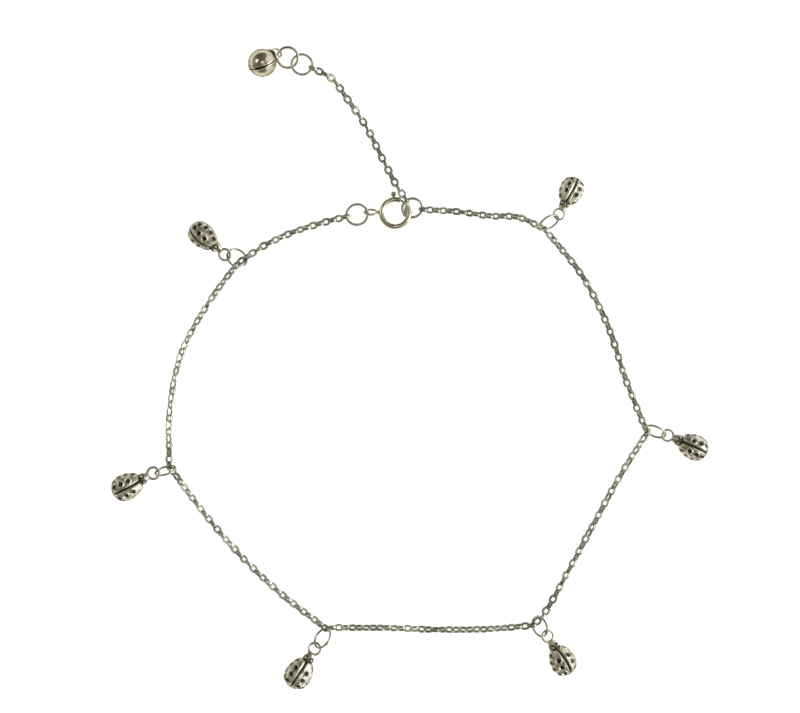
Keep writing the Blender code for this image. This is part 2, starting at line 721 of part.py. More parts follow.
def build_extension(end_ring, bell_ring):
    """The extension chain: real links, each turned a quarter on the last, pressed together where they touch."""
    first = Vector((*EXTENSION_ROUTE[0], 0)) * MM - end_ring.translation
    first.z = 0
    last = Vector((*EXTENSION_ROUTE[-1], 0)) * MM - bell_ring.translation
    last.z = 0
    start, start_normal = hooked_link(end_ring, END_RING_DIAMETER, END_RING_EXTENSION_ANGLE, first)
    end, end_normal = hooked_link(bell_ring, BELL_RING_DIAMETER, INNER_BELL_RING_CHAIN_ANGLE, last)
    run = laid_run(start, EXTENSION_ROUTE, end, LINK_WIDTH / 2 + LINK_WIRE / 4)
    total = flat_length(run)
    count = round(total / LINK_PITCH)
    places = [along(run, total * i / count)[0] for i in range(count + 1)]
    pieces = []
    for i, place in enumerate(places):
        direction = places[min(i + 1, count)] - places[max(i - 1, 0)]
        normal = twisted_normal(i, count, start_normal, end_normal, direction)
        pieces.append(chain_link("link", place, normal, direction))
    chain = combined(pieces[0], pieces[1:], "UNION")
    chain.name = "extension_chain"
    filed(chain)


def turn_about(direction, normal):
    """How far a normal is turned about the chain's direction, from straight up."""
    direction = Vector(direction).normalized()
    side = Vector((0, 0, 1)).cross(direction).normalized()
    up = direction.cross(side)
    return math.atan2(Vector(normal).dot(side), Vector(normal).dot(up))


def twisted_normal(index, count, start_normal, end_normal, direction):
    """A quarter turn for each link, with the rest of the turn between the two ends shared out evenly."""
    begin = turn_about(direction, start_normal)
    finish = turn_about(direction, end_normal)
    quarter = math.pi / 2
    spare = (finish - begin - count * quarter) % math.pi
    if spare > quarter:
        spare -= math.pi
    turn = begin + index * (quarter + spare / count)
    direction = Vector(direction).normalized()
    side = Vector((0, 0, 1)).cross(direction).normalized()
    up = direction.cross(side)
    return side * math.sin(turn) + up * math.cos(turn)


def build_bell():
    """The hollow bell: a sphere with a cap disc and loop at its top and a lipped slit over the rest."""
    radius = BELL_DIAMETER / 2
    shell = ball("bell", (0, 0, 0), (BELL_DIAMETER,) * 3, BELL_MESH)
    slit_frame = Matrix.Rotation(math.radians(BELL_SLIT_LEAN), 4, "X")
    slit_frame @= Matrix.Rotation(math.radians(BELL_SLIT_TURN), 4, "Z")
    lip = disc("lip", BELL_DIAMETER + 2 * BELL_LIP_RISE, BELL_LIP_WIDTH, BELL_LIP_SIDES)
    lip.data.transform(slit_frame @ Matrix.Rotation(math.pi / 2, 4, "X"))
    cap = disc("cap", BELL_CAP_DIAMETER, BELL_CAP_THICKNESS, BELL_CAP_SIDES)
    cap_place = Matrix.Translation((radius - BELL_CAP_THICKNESS / 4, 0, 0))
    cap.data.transform(cap_place @ Matrix.Rotation(math.pi / 2, 4, "Y"))
    loop = oval_wire("loop", BELL_LOOP_DIAMETER, BELL_LOOP_DIAMETER, BELL_LOOP_WIRE, LOOP_SIDES, LOOP_WIRE_SIDES)
    loop_x = radius + BELL_CAP_THICKNESS / 4 + BELL_LOOP_DIAMETER / 2 - BELL_LOOP_WIRE / 2
    loop_turn = Matrix.Rotation(math.radians(BELL_LOOP_TWIST), 4, "X")
    loop.data.transform(Matrix.Translation((loop_x, 0, 0)) @ loop_turn)
    bell = combined(shell, [lip, cap, loop], "UNION")
    inner = BELL_DIAMETER - 2 * BELL_WALL
    hollow = ball("hollow", (0, 0, 0), (inner,) * 3, BELL_HOLLOW_MESH)
    bpy.ops.mesh.primitive_cube_add(size=1)
    slit = bpy.context.object
    length = 2 * BELL_DIAMETER
    place = Matrix.Translation((BELL_SLIT_REACH - length / 2, 0, 0))
    size = Matrix.Diagonal((length, BELL_SLIT_WIDTH, length, 1))
    slit.data.transform(slit_frame @ place @ size)
    bell = combined(bell, [hollow, slit], "DIFFERENCE")
    turn = Matrix.Rotation(math.radians(BELL_HEADING), 4, "Z")
    turn @= Matrix.Rotation(math.radians(BELL_DROOP), 4, "Y")
    lowest = min((turn @ vertex.co).z for vertex in bell.data.vertices)
    bell.matrix_world = Matrix.Translation((*BELL_CENTRE, -lowest)) @ turn
    filed(bell)


def disc(name, diameter, thickness, sides):
    bpy.ops.mesh.primitive_cylinder_add(vertices=sides, radius=diameter / 2, depth=thickness)
    obj = bpy.context.object
    obj.name = name
    return obj


def build_bell_rings():
    """The two rings between the bell's loop and the extension chain. Gives the frame of the chain's own."""
    outer = sloped_frame(OUTER_BELL_RING_CENTRE, OUTER_BELL_RING_SLOPE)
    inner = sloped_frame(INNER_BELL_RING_CENTRE, INNER_BELL_RING_SLOPE)
    jump_ring("bell_ring_1", inner, BELL_RING_DIAMETER, RING_WIRE)
    jump_ring("bell_ring_2", outer, BELL_RING_DIAMETER, RING_WIRE)
    return inner


clear_scene()
ANKLET = new_collection("payal_anklet")
charm_holds = build_charms()
build_clasp()
clasp_ring_frame, clasp_end_frame = build_clasp_rings()
build_main_chain(charm_holds, clasp_ring_frame, clasp_end_frame)
build_extension(clasp_end_frame, build_bell_rings())
build_bell()
for piece in ANKLET.objects:
    if piece.type == "MESH":
        piece.data.shade_smooth()
        piece.data.set_sharp_from_angle(angle=math.radians(40))
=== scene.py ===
# %% [markdown]
# # A silver payal anklet on a white table
#
# A payal is an ankle chain. This one is a fine cable chain with six cast ladybirds, a bolt ring clasp, and a short
# tail of chain that ends in a bell. The imported solids already settle every place and every size. This lesson gives
# them the surfaces of the real pieces: separate chain links, round wire, cast pits and rims, and three finishes of
# silver. The solids are opened first.

import json
import math

import bmesh
import bpy
import numpy as np
from mathutils import Matrix

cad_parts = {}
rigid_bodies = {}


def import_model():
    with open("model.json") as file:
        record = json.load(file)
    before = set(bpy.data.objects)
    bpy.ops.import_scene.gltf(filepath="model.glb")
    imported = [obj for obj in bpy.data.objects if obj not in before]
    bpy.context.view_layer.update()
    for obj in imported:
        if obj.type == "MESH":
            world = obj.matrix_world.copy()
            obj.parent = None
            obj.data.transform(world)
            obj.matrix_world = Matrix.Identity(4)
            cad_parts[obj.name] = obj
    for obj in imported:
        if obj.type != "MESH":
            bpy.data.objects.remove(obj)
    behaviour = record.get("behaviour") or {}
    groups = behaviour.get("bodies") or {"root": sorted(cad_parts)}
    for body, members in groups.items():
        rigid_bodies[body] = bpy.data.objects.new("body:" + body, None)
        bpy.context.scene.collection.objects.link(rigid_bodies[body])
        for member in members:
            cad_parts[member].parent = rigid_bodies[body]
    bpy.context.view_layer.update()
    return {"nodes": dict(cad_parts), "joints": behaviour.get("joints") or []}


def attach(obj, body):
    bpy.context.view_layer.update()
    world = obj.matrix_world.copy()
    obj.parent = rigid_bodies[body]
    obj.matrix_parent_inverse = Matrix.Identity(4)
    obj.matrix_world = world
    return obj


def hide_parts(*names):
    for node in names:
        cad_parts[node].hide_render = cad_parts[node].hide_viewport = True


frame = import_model()
MM = 0.001

# %% [markdown]
# ## Colours and shader nodes
#
# A colour is read off a sample as an sRGB hex value, but the renderer adds light in linear values, so one function
# does the change for all of them. A material is a small graph of nodes, and one function adds a node together with
# its settings and the links that feed it.

# %% One function for colours, one for nodes
def linear(code):
    """sRGB hex to linear: a channel c is c / 12.92 up to 0.04045, and ((c + 0.055) / 1.055) to the power 2.4 above."""
    c = np.array([int(code[i:i + 2], 16) for i in (1, 3, 5)]) / 255
    return (*np.where(c <= 0.04045, c / 12.92, ((c + 0.055) / 1.055) ** 2.4), 1.0)


def add(tree, kind, values=(), links=(), **options):
    """Adds a shader node. Values and links name the node's inputs, and options its other settings."""
    node = tree.nodes.new("ShaderNode" + kind)
    for key, value in options.items():
        setattr(node, key, value)
    for key, value in dict(values).items():
        node.inputs[key].default_value = value
    for key, socket in dict(links).items():
        tree.links.new(socket, node.inputs[key])
    return node


def ramp(tree, source, stops):
    """Turns a number into a colour or a grey, through stops of (place, value)."""
    node = add(tree, "ValToRGB", links={"Fac": source})
    while len(node.color_ramp.elements) < len(stops):
        node.color_ramp.elements.new(0.5)
    for element, (place, value) in zip(node.color_ramp.elements, stops):
        element.position = place
        element.color = linear(value) if isinstance(value, str) else (value, value, value, 1.0)
    return node.outputs["Color"]


print("sRGB #808080 is", round(linear("#808080")[0], 4), "in linear light")

# %% [markdown]
# ## Drawn silver wire
#
# The links and jump rings are sterling silver wire pulled through a die. That leaves a bright surface with fine
# drag marks and a thin film of tarnish, which is olive-grey where fingers don't reach. Silver is a metal, so its
# colour is the colour of its reflection, its metallic value is 1 and its index of refraction stays at the default.
# The tarnish wanders over a few millimetres, and the drag marks are 0.05 mm apart, drawn as coarse as 0.12 mm so
# that they show. At a grazing angle a metal turns white unless it is tinted. In the photo the rims of the wires stay
# dark, so that reflection gets the olive grey of the tarnish.

# %% Drawn silver
EDGE_TINT = "#66655A"
DULLER = 1.5


def silver(name, light, dark, gloss, patch_mm, grain_mm, grain_depth_mm):
    """Silver with soft patches of tarnish, DULLER times as rough, and a fine grain that breaks up reflections."""
    material = bpy.data.materials.new(name)
    material.use_nodes = True
    tree = material.node_tree
    shader = tree.nodes["Principled BSDF"]
    shader.inputs["Metallic"].default_value = 1.0
    shader.inputs["Specular Tint"].default_value = linear(EDGE_TINT)
    place = add(tree, "TexCoord").outputs["Object"]
    patches = add(tree, "TexNoise", {"Scale": 1 / (patch_mm * MM), "Detail": 3.0}, {"Vector": place}).outputs["Fac"]
    tree.links.new(ramp(tree, patches, [(0.38, dark), (0.62, light)]), shader.inputs["Base Color"])
    tree.links.new(ramp(tree, patches, [(0.35, gloss * DULLER), (0.65, gloss)]), shader.inputs["Roughness"])
    grain = add(tree, "TexNoise", {"Scale": 1 / (grain_mm * MM), "Detail": 2.0}, {"Vector": place}).outputs["Fac"]
    bump = add(tree, "Bump", {"Strength": 0.6, "Distance": grain_depth_mm * MM}, {"Height": grain})
    tree.links.new(bump.outputs["Normal"], shader.inputs["Normal"])
    return material


# For the links and the bolt, for the jump rings, and for the clasp's rolled tube.
drawn_silver = silver("drawn_silver", "#C4C5B6", "#94958A", 0.29, 2.2, 0.12, 0.004)
ring_silver = silver("polished_ring_silver", "#C2C2B6", "#9C9C8F", 0.26, 2.2, 0.12, 0.003)
tube_silver = silver("rolled_tube_silver", "#D2D0BE", "#AEAC98", 0.24, 1.5, 0.15, 0.001)
print("finishes:", drawn_silver.name, ring_silver.name, tube_silver.name)

# %% [markdown]
# ## Cast silver, darkened and rubbed
#
# The ladybirds are cast, then dipped in a sulphur bath that blackens them, and rubbed on a wheel. The wheel reaches
# the high spots only, so the pits and grooves stay dark brown-grey. Each charm's mesh carries an attribute, from 0
# on the skin to 1 at the bottom of a pit, and the colour and the gloss follow it. Besides the oxide it holds painted
# shade low on the casting, towards the table. The casting skin is a little rough, with pores about 0.09 mm apart.
# The bell has the same two tones, on a smooth skin spun from sheet.

# %% Oxidised cast silver
PIT_ROUGHNESS = 0.35


def cast_finish(name, light, dark, pit, gloss, pore_mm):
    """Cast silver whose attribute blends from a polished skin to an oxidised pit; low on a charm it also brings painted
    shade.
    """
    material = silver(name, light, dark, gloss, 1.4, pore_mm, 0.008)
    tree = material.node_tree
    shader = tree.nodes["Principled BSDF"]
    skin = shader.inputs["Base Color"].links[0].from_socket
    shine = shader.inputs["Roughness"].links[0].from_socket
    depth = add(tree, "Attribute", attribute_name="oxide_and_shade").outputs["Fac"]
    colour = add(tree, "Mix", links={"Factor": depth}, data_type="RGBA")
    tree.links.new(skin, colour.inputs["A"])
    colour.inputs["B"].default_value = linear(pit)
    rough = add(tree, "MapRange", {"To Min": 0.0, "To Max": PIT_ROUGHNESS}, {"Value": depth}).outputs["Result"]
    total = add(tree, "Math", operation="ADD")
    tree.links.new(shine, total.inputs[0])
    tree.links.new(rough, total.inputs[1])
    tree.links.new(colour.outputs["Result"], shader.inputs["Base Color"])
    tree.links.new(total.outputs["Value"], shader.inputs["Roughness"])
    return material


cast_silver = cast_finish("oxidised_cast_silver", "#D8D5C6", "#A9A592", "#2B2822", 0.28, 0.09)
bell_silver = cast_finish("spun_bell_silver", "#D2CEBB", "#A8A289", "#2E281E", 0.16, 0.16)
print("finishes:", cast_silver.name, bell_silver.name)

# %% [markdown]
# ## Grids of points
#
# Every surface here is a grid: rows run along the piece and columns run round it. A formula gives all the points at
# once as one numpy array, and the quads between them follow from the row and column numbers, so nothing is built
# vertex by vertex. All lengths are in millimetres until the mesh is made.

# %% From a grid to a mesh
def quads(rows, columns, wrap_rows=False):
    """The four corners of each cell of a grid, where point (i, j) has the number i * columns + j."""
    i, j = np.meshgrid(np.arange(rows if wrap_rows else rows - 1), np.arange(columns), indexing="ij")
    up, over = (i + 1) % rows, (j + 1) % columns
    return np.stack([i * columns + j, i * columns + over, up * columns + over, up * columns + j], -1).reshape(-1, 4)


def with_ends(grid):
    """Closes an open tube: the middle of each end row becomes one more row, shrunk to a point."""
    first = np.broadcast_to(grid[0].mean(0), grid[:1].shape)
    last = np.broadcast_to(grid[-1].mean(0), grid[:1].shape)
    return np.concatenate([first, grid, last])


def sheet_of(grid, wrap_rows=False, oxide_and_shade=None):
    """A grid as a part of a piece: its points, its faces and how much oxide darkens each point."""
    rows, columns = grid.shape[:2]
    depth = np.zeros(rows * columns) if oxide_and_shade is None else np.asarray(oxide_and_shade, float).reshape(-1)
    return grid.reshape(-1, 3), quads(rows, columns, wrap_rows), depth


def make_piece(name, parts, material, body="anklet"):
    """One mesh object from several closed parts. Its doubled points are merged and its faces turned outwards."""
    starts = np.cumsum([0] + [len(points) for points, _, _ in parts])
    mesh = bpy.data.meshes.new(name)
    faces = np.concatenate([corners + start for (_, corners, _), start in zip(parts, starts)])
    mesh.from_pydata(np.concatenate([points for points, _, _ in parts]) * MM, [], faces.tolist())
    # The attribute holds the oxide of hollows, and on the charms also painted shade towards the table.
    mesh.attributes.new("oxide_and_shade", "FLOAT", "POINT").data.foreach_set("value", np.concatenate([d for _, _, d in parts]))
    shape = bmesh.new()
    shape.from_mesh(mesh)
    bmesh.ops.remove_doubles(shape, verts=shape.verts, dist=0.0002 * MM)
    bmesh.ops.recalc_face_normals(shape, faces=shape.faces)
    shape.to_mesh(mesh)
    shape.free()
    mesh.shade_smooth()
    mesh.set_sharp_from_angle(angle=math.radians(50))
    piece = bpy.data.objects.new(name, mesh)
    piece.data.materials.append(material)
    bpy.context.scene.collection.objects.link(piece)
    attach(piece, body)
    print(f"{name}: {len(mesh.polygons)} faces")
    return piece


# %% [markdown]
# ## Where the solids are
#
# A jump ring's solid is a plain faceted ring, so its place can be measured on it. Its middle is the mean of its
# corners. Its plane is the one that they keep closest to, which singular value decomposition finds: the last of
# the three directions is the one across the ring.

# %% Measuring a solid
def corners_of(node):
    """The different corners of a solid, in millimetres."""
    mesh = frame["nodes"][node].data
    flat = np.empty(len(mesh.vertices) * 3, np.float32)
    mesh.vertices.foreach_get("co", flat)
    return np.unique(flat.reshape(-1, 3).astype(float).round(8), axis=0) / MM


def unit(vector):
    """Each vector divided by its length."""
    return vector / np.linalg.norm(vector, axis=-1, keepdims=True)


def axes_from(normal, along):
    """A turned set of axes as columns: X as close to along as it can be, and Z along the normal."""
    z = unit(np.asarray(normal, float))
    x = unit(np.asarray(along, float) - z * np.sum(z * along, -1, keepdims=True))
    return np.stack([x, np.cross(z, x), z], -1)


def ring_place(node):
    """The middle, the upward normal and the outer radius of a ring's solid."""
    points = corners_of(node)
    middle = points.mean(0)
    normal = np.linalg.svd(points - middle)[2][2]
    return middle, normal * math.copysign(1, normal[2]), np.linalg.norm(points - middle, axis=1).max()


RINGS = [f"charm_ring_{i}" for i in range(1, 7)] + ["clasp_ring", "end_ring", "bell_ring_1", "bell_ring_2"]
places = {name: ring_place(name) for name in RINGS}
print("end ring:", places["end_ring"][0].round(2), "mm, outer radius", round(places["end_ring"][2], 2), "mm")

# %% [markdown]
# ## Round wire
#
# Links, rings and loops are all one wire bent to a flat curve. At each point of the curve the wire's skin is a
# circle spanned by two directions: away from the curve within its plane, and across the plane. Solder runs into a
# rounded bead, so a ball is needed too.

# %% Wire bent along a flat curve
def wire(curve, radius, sides, closed=True):
    """Point (u, v) of the skin is curve(u) + radius (cos v n(u) + sin v z), where n is square to the curve in XY."""
    ahead = np.roll(curve, -1, 0) - np.roll(curve, 1, 0)
    if not closed:
        ahead[0], ahead[-1] = curve[1] - curve[0], curve[-1] - curve[-2]
    ahead = unit(ahead)
    out = np.stack([ahead[:, 1], -ahead[:, 0], 0 * ahead[:, 0]], -1)
    v = np.linspace(0, 2 * np.pi, sides, endpoint=False)
    thick = np.broadcast_to(radius, len(curve))[:, None, None]
    skin = out[:, None] * np.cos(v)[None, :, None] + np.array([0, 0, 1.0]) * np.sin(v)[None, :, None]
    return curve[:, None] + thick * skin


def arc(radius, start, end, count):
    """Points of a circle about the origin, from one angle in degrees to another."""
    turn = np.radians(np.linspace(start, end, count))
    return np.stack([radius * np.cos(turn), radius * np.sin(turn), 0 * turn], -1)


def placed(grid, axes, middle):
    """Turns a grid by the axes (its columns are the new X, Y and Z) and moves it to the middle."""
    return grid @ np.asarray(axes).T + middle


def ball(rows, columns):
    """A sphere of radius 1: x = sin s cos t, y = sin s sin t, z = cos s."""
    s, t = np.meshgrid(np.linspace(0, np.pi, rows), np.linspace(0, 2 * np.pi, columns, endpoint=False), indexing="ij")
    return np.stack([np.sin(s) * np.cos(t), np.sin(s) * np.sin(t), np.cos(s)], -1)


trial = wire(arc(1.8, 0, 360, 49)[:-1], 0.18, 12)
print("a trial ring has", trial.shape[0] * trial.shape[1], "points")

# %% [markdown]
# ## Jump rings
#
# A jump ring is one turn of wire cut from a coil. Its cut ends meet in a butt joint, which shows as a hairline, and
# one end sits a hair higher than the other where the pliers closed it. One ring near the bottom of the loop was
# closed with solder, which left a small bead. The rings are modelled as an open turn with closed ends. Their places
# come from the solids, but the wire is drawn thicker than there, as the photo shows it.

# %% The ten jump rings
RING_WIRE = {name: 0.37 if name.startswith("charm") else 0.46 for name in RINGS}
SEAM_AT = dict(zip(RINGS, (200, 120, 305, 75, 100, 190, 215, 330, 250, 60)))
SOLDER_AT = {"charm_ring_3": 305.0}
SOLDER_HALVES = (0.34, 0.34, 0.26)
SEAM_GAP = 0.03
SEAM_STEP = 0.05


def jump_ring(name):
    """One turn of wire. Its height is a fifth power of the way round, so it climbs by SEAM_STEP close to the cut."""
    middle, normal, outer = places[name]
    axes = axes_from(normal, (1, 0, 0))
    thick = RING_WIRE[name]
    radius = outer - thick / 2
    gap = math.degrees(SEAM_GAP / radius)
    curve = arc(radius, SEAM_AT[name] + gap / 2, SEAM_AT[name] + 360 - gap / 2, 72)
    grid = wire(curve, thick / 2, 14, closed=False)
    grid[:, :, 2] += (np.linspace(-0.5, 0.5, 72) ** 5 * 16 * SEAM_STEP)[:, None]
    parts = [sheet_of(with_ends(placed(grid, axes, middle)))]
    if name in SOLDER_AT:
        bead = ball(14, 20) * SOLDER_HALVES + arc(radius, SOLDER_AT[name], SOLDER_AT[name], 1)[0]
        parts.append(sheet_of(placed(bead, axes, middle)))
    piece = make_piece(name + "_wire", parts, ring_silver)
    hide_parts(name)


for name in RINGS:
    jump_ring(name)

# %% [markdown]
# ## The route of the chain
#
# The chain was dropped on the table in seven runs, from one charm to the next. Each run is a smooth line through a
# few listed points. Between two of them it is a cubic with handles a third of the step long, each pointing along
# the line between the neighbours. The ends are lifted, because the jump rings hold them up.

# %% The seven runs and the tail
# The middles of the six links that carry a charm's ring.
STATIONS = np.array([
    (-27.0, 18.4, 0.60), (-40.0, -16.4, 0.75), (-14.0, -43.4, 0.85), (20.5, -43.0, 0.60), (39.7, -10.9, 1.00),
    (22.8, 22.9, 1.20),
])
ROUTE = [
    [(-15.6, 23.8), (-20.0, 22.3), (-24.0, 20.4)],
    [(-28.6, 17.2), (-33.8, 10.1), (-38.0, 2.1), (-39.8, -6.8)],
    [(-34.3, -24.1), (-28.3, -31.1), (-21.6, -37.5)],
    [(-4.4, -43.4), (4.4, -43.7), (13.1, -43.6)],
    [(22.4, -41.3), (26.7, -33.7), (30.8, -26.1), (34.9, -18.6)],
    [(36.1, -1.8), (33.1, 7.1), (28.8, 15.4)],
    [(18.5, 25.0), (13.3, 25.3), (8.1, 26.0)],
]
TAIL_ROUTE = [(-2.0, 30.2), (-4.2, 34.4), (-7.1, 40.1), (-10.8, 45.5), (-12.9, 48.2)]
# A link's wire is LINK_WIRE wide seen from above it and LINK_BAND high. The hole is shorter than the pitch, so the
# wires of two neighbours run into each other by LINK_OVERLAP where they pass.
LINK_PITCH = 1.12
LINK_WIRE = 0.43
LINK_BAND = 0.56
LINK_WIDTH = 1.40
LINK_OVERLAP = 0.26
LINK_LENGTH = LINK_PITCH + 2 * LINK_WIRE - LINK_OVERLAP
HOOK_PLAY = 0.10
CHAIN_REST = 0.50
RISE = 3.5


def smooth_line(knots, steps=60):
    """Cubic stretches through the knots, as points with the distance travelled at each."""
    knots = np.asarray(knots, float)
    padded = np.vstack([2 * knots[0] - knots[1], knots, 2 * knots[-1] - knots[-2]])
    heading = unit(padded[2:] - padded[:-2])
    one, two = knots[:-1, None], knots[1:, None]
    reach = np.linalg.norm(two - one, axis=-1, keepdims=True) / 3
    t = np.linspace(0, 1, steps, endpoint=False)[None, :, None]
    start, end = one + heading[:-1, None] * reach, two - heading[1:, None] * reach
    cubic = one * (1 - t) ** 3 + 3 * start * t * (1 - t) ** 2 + 3 * end * t ** 2 * (1 - t) + two * t ** 3
    line = np.vstack([cubic.reshape(-1, knots.shape[1]), knots[-1:]])
    return line, np.concatenate([[0], np.cumsum(np.linalg.norm(np.diff(line, axis=0), axis=1))])


def run_points(start, between, end, rest, share):
    """Points at the given shares of a run. The lift at each end fades as 3 s s - 2 s s s over RISE millimetres."""
    line, far = smooth_line([start[:2], *between, end[:2]])
    at = np.asarray(share) * far[-1]
    flat = np.stack([np.interp(at, far, line[:, k]) for k in (0, 1)], -1)
    near = np.clip(1 - at / RISE, 0, 1)
    late = np.clip(1 - (far[-1] - at) / RISE, 0, 1)
    lift = (start[2] - rest) * near ** 2 * (3 - 2 * near) + (end[2] - rest) * late ** 2 * (3 - 2 * late)
    return np.column_stack([flat, rest + lift]), far[-1]


def hook(ring, angle, direction):
    """The middle and the normal of a link that hangs on a ring's wire, on the side that faces the angle."""
    middle, normal, outer = places[ring]
    out = np.array([math.cos(math.radians(angle)), math.sin(math.radians(angle)), 0])
    out[2] = -np.dot(out, normal) / normal[2]
    point = middle + unit(out) * (outer - RING_WIRE[ring] / 2)
    reach = (LINK_PITCH + LINK_WIRE) / 2 - (LINK_WIRE + RING_WIRE[ring]) / 2 - HOOK_PLAY
    direction = unit(np.array([*direction[:2], 0.0]) - np.array([*middle[:2], 0.0]))
    return point + direction * reach, unit(np.cross(normal, point - middle))


first_link, first_normal = hook("clasp_ring", 190.0, ROUTE[0][0])
last_link, last_normal = hook("end_ring", -8.0, ROUTE[-1][-1])
stops = np.vstack([first_link, STATIONS, last_link])
print("length of the loop's chain:", round(sum(
    run_points(stops[i], ROUTE[i], stops[i + 1], CHAIN_REST, [0])[1] for i in range(7)
), 1), "mm")

# %% [markdown]
# ## Links of the chain
#
# A cable chain is oval links, each turned a quarter on the last. A chain that lies on a table leans: every other
# link is tilted one way from flat, and the ones between the rest of the quarter turn the other way. At 45 degrees
# all look alike, and at 25 degrees open and narrow links take turns, so the photo gives a lean for each run. A link
# that hangs on a jump ring must stand square to the ring's wire instead, so the turn eases from one pattern to the
# other over the first few links. One small link is modelled, and an array of axes and an array of middles lay all
# its copies at once. Every link has only 12 by 6 faces, because there are more than two hundred.

# %% One link
def link_grid():
    """A stadium of wire: half circles of the link's width, moved apart along X to its length."""
    turn = np.radians(np.arange(12) * 30 + 15)
    half = (LINK_WIDTH - LINK_WIRE) / 2
    shift = (LINK_LENGTH - LINK_WIDTH) / 2
    curve = np.stack([half * np.cos(turn) + shift * np.tanh(3 * np.cos(turn)), half * np.sin(turn), 0 * turn], -1)
    return wire(curve, LINK_WIRE / 2, 6) * (1, 1, LINK_BAND / LINK_WIRE)


print("points in one link:", link_grid().shape[0] * link_grid().shape[1])

# %% [markdown]
# ## Laying a run
#
# A run must begin and end with a link turned to suit its ring. One link more or less, or starting on the other
# lean, changes the turn at the end by a quarter, so a few choices are tried and the one that bends the pattern least
# is kept. A little chance in each link's turn keeps the chain from looking printed. A link that would dip into the
# table is lifted until its lowest point rests on it.

# %% Lay a run of links
LINK_LEAN = (28, 42, 25, 45, 30, 27, 24)
TAIL_LEAN = 14
LINK_PLAY = 0.17
EASE_LINKS = 3.0
rng = np.random.default_rng(7)


def level_turn(normal, direction):
    """How far a link's normal is turned from straight up, about the chain's direction, in radians."""
    side = unit(np.cross((0, 0, 1.0), direction))
    return math.atan2(np.dot(normal, side), np.dot(normal, np.cross(direction, side)))


def fold(angle):
    """The same lean of a link between -90 and 90 degrees, since half a turn changes nothing."""
    return (angle + np.pi / 2) % np.pi - np.pi / 2


def best_fit(wanted, begin, finish, slope):
    """The number of pitches, the first lean, and what the turn must still change at either end, in radians."""
    best = None
    for count in (round(wanted), round(wanted) + 1, round(wanted) - 1):
        for lean in (math.radians(slope), math.radians(slope - 90)):
            early, late = fold(begin - lean), fold(finish - lean - count * np.pi / 2)
            cost = abs(early) + abs(late) + 0.3 * abs(count - wanted)
            if best is None or cost < best[0]:
                best = (cost, count, lean, early, late)
    return best[1:]


def lay_links(start, between, end, start_normal, end_normal, rest, slope):
    """The axes and the middles of all links of a run. Link i is turned by the lean, i quarters and what is eased in."""
    length = run_points(start, between, end, rest, [0])[1]
    direction = unit(np.diff(run_points(start, between, end, rest, [0, 0.01, 0.99, 1])[0], axis=0)[[0, 2]])
    begin, finish = level_turn(start_normal, direction[0]), level_turn(end_normal, direction[1])
    count, lean, early, late = best_fit(length / LINK_PITCH, begin, finish, slope)
    share = np.linspace(0, 1, count + 1)
    middles = run_points(start, between, end, rest, share)[0]
    ahead = unit(np.gradient(middles, axis=0))
    index = np.arange(count + 1)
    ease = early * np.exp(-(index / EASE_LINKS) ** 2) + late * np.exp(-((count - index) / EASE_LINKS) ** 2)
    loose = np.sin(np.pi * share) ** 0.5 * rng.normal(0, LINK_PLAY, count + 1)
    turn = lean + index * np.pi / 2 + ease + loose
    side = unit(np.cross((0, 0, 1.0), ahead))
    normal = side * np.sin(turn)[:, None] + np.cross(ahead, side) * np.cos(turn)[:, None]
    upright = np.abs(normal[:, 2])
    middles[:, 2] = np.maximum(middles[:, 2], LINK_WIDTH / 2 * np.sqrt(1 - upright ** 2) + LINK_BAND / 2 * upright)
    return axes_from(normal, ahead), middles


def links_part(axes, middles):
    """All copies of the link as one part: point k of link i is middle(i) + axes(i) times point k."""
    grid = link_grid()
    rows, columns = grid.shape[:2]
    points = np.einsum("nij,kj->nki", axes, grid.reshape(-1, 3)) + middles[:, None]
    faces = quads(rows, columns, wrap_rows=True)
    all_faces = faces[None] + (np.arange(len(middles)) * rows * columns)[:, None, None]
    return points.reshape(-1, 3), all_faces.reshape(-1, 4), np.zeros(points.shape[0] * points.shape[1])


def ring_hold(charm):
    """The direction of a charm ring's wire where it passes through its station's link."""
    middle, normal, outer = places[f"charm_ring_{charm + 1}"]
    return unit(np.cross(normal, STATIONS[charm] - middle))


normals = [first_normal, *[ring_hold(i) for i in range(6)], last_normal]
laid = [
    lay_links(stops[i], ROUTE[i], stops[i + 1], normals[i], normals[i + 1], CHAIN_REST, LINK_LEAN[i]) for i in range(7)
]
keep = [slice(0, None) if i == 0 else slice(1, None) for i in range(7)]
loop_axes = np.concatenate([axes[part] for (axes, _), part in zip(laid, keep)])
loop_middles = np.concatenate([middles[part] for (_, middles), part in zip(laid, keep)])
chain = make_piece("main_chain_links", [links_part(loop_axes, loop_middles)], drawn_silver)
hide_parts("main_chain")
print("links in the loop:", len(loop_middles))

# %% [markdown]
# ## The tail chain
#
# The tail is the same chain. Its first link hangs on the end ring together with the loop's last link, and its last
# one holds the inner of the two rings at the bell.

# %% Links from the end ring to the bell's rings
tail_start, tail_start_normal = hook("end_ring", 127.0, TAIL_ROUTE[0])
tail_end, tail_end_normal = hook("bell_ring_1", -20.0, TAIL_ROUTE[-1])
tail = lay_links(tail_start, TAIL_ROUTE, tail_end, tail_start_normal, tail_end_normal, CHAIN_REST + 0.1, TAIL_LEAN)
tail_piece = make_piece("extension_chain_links", [links_part(*tail)], drawn_silver)
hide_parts("extension_chain")
print("links in the tail:", len(tail[1]))

# %% [markdown]
# ## A ladybird's body
#
# The wings are an egg on its side, a little wider towards the tail. The egg is a formula, so any point on it can be
# found again: the spots are placed by their share of the length and their angle from straight up. EYE_RING is the
# loop that the casting ends in. The charm's own Y axis runs from its tail to the middle of that loop.

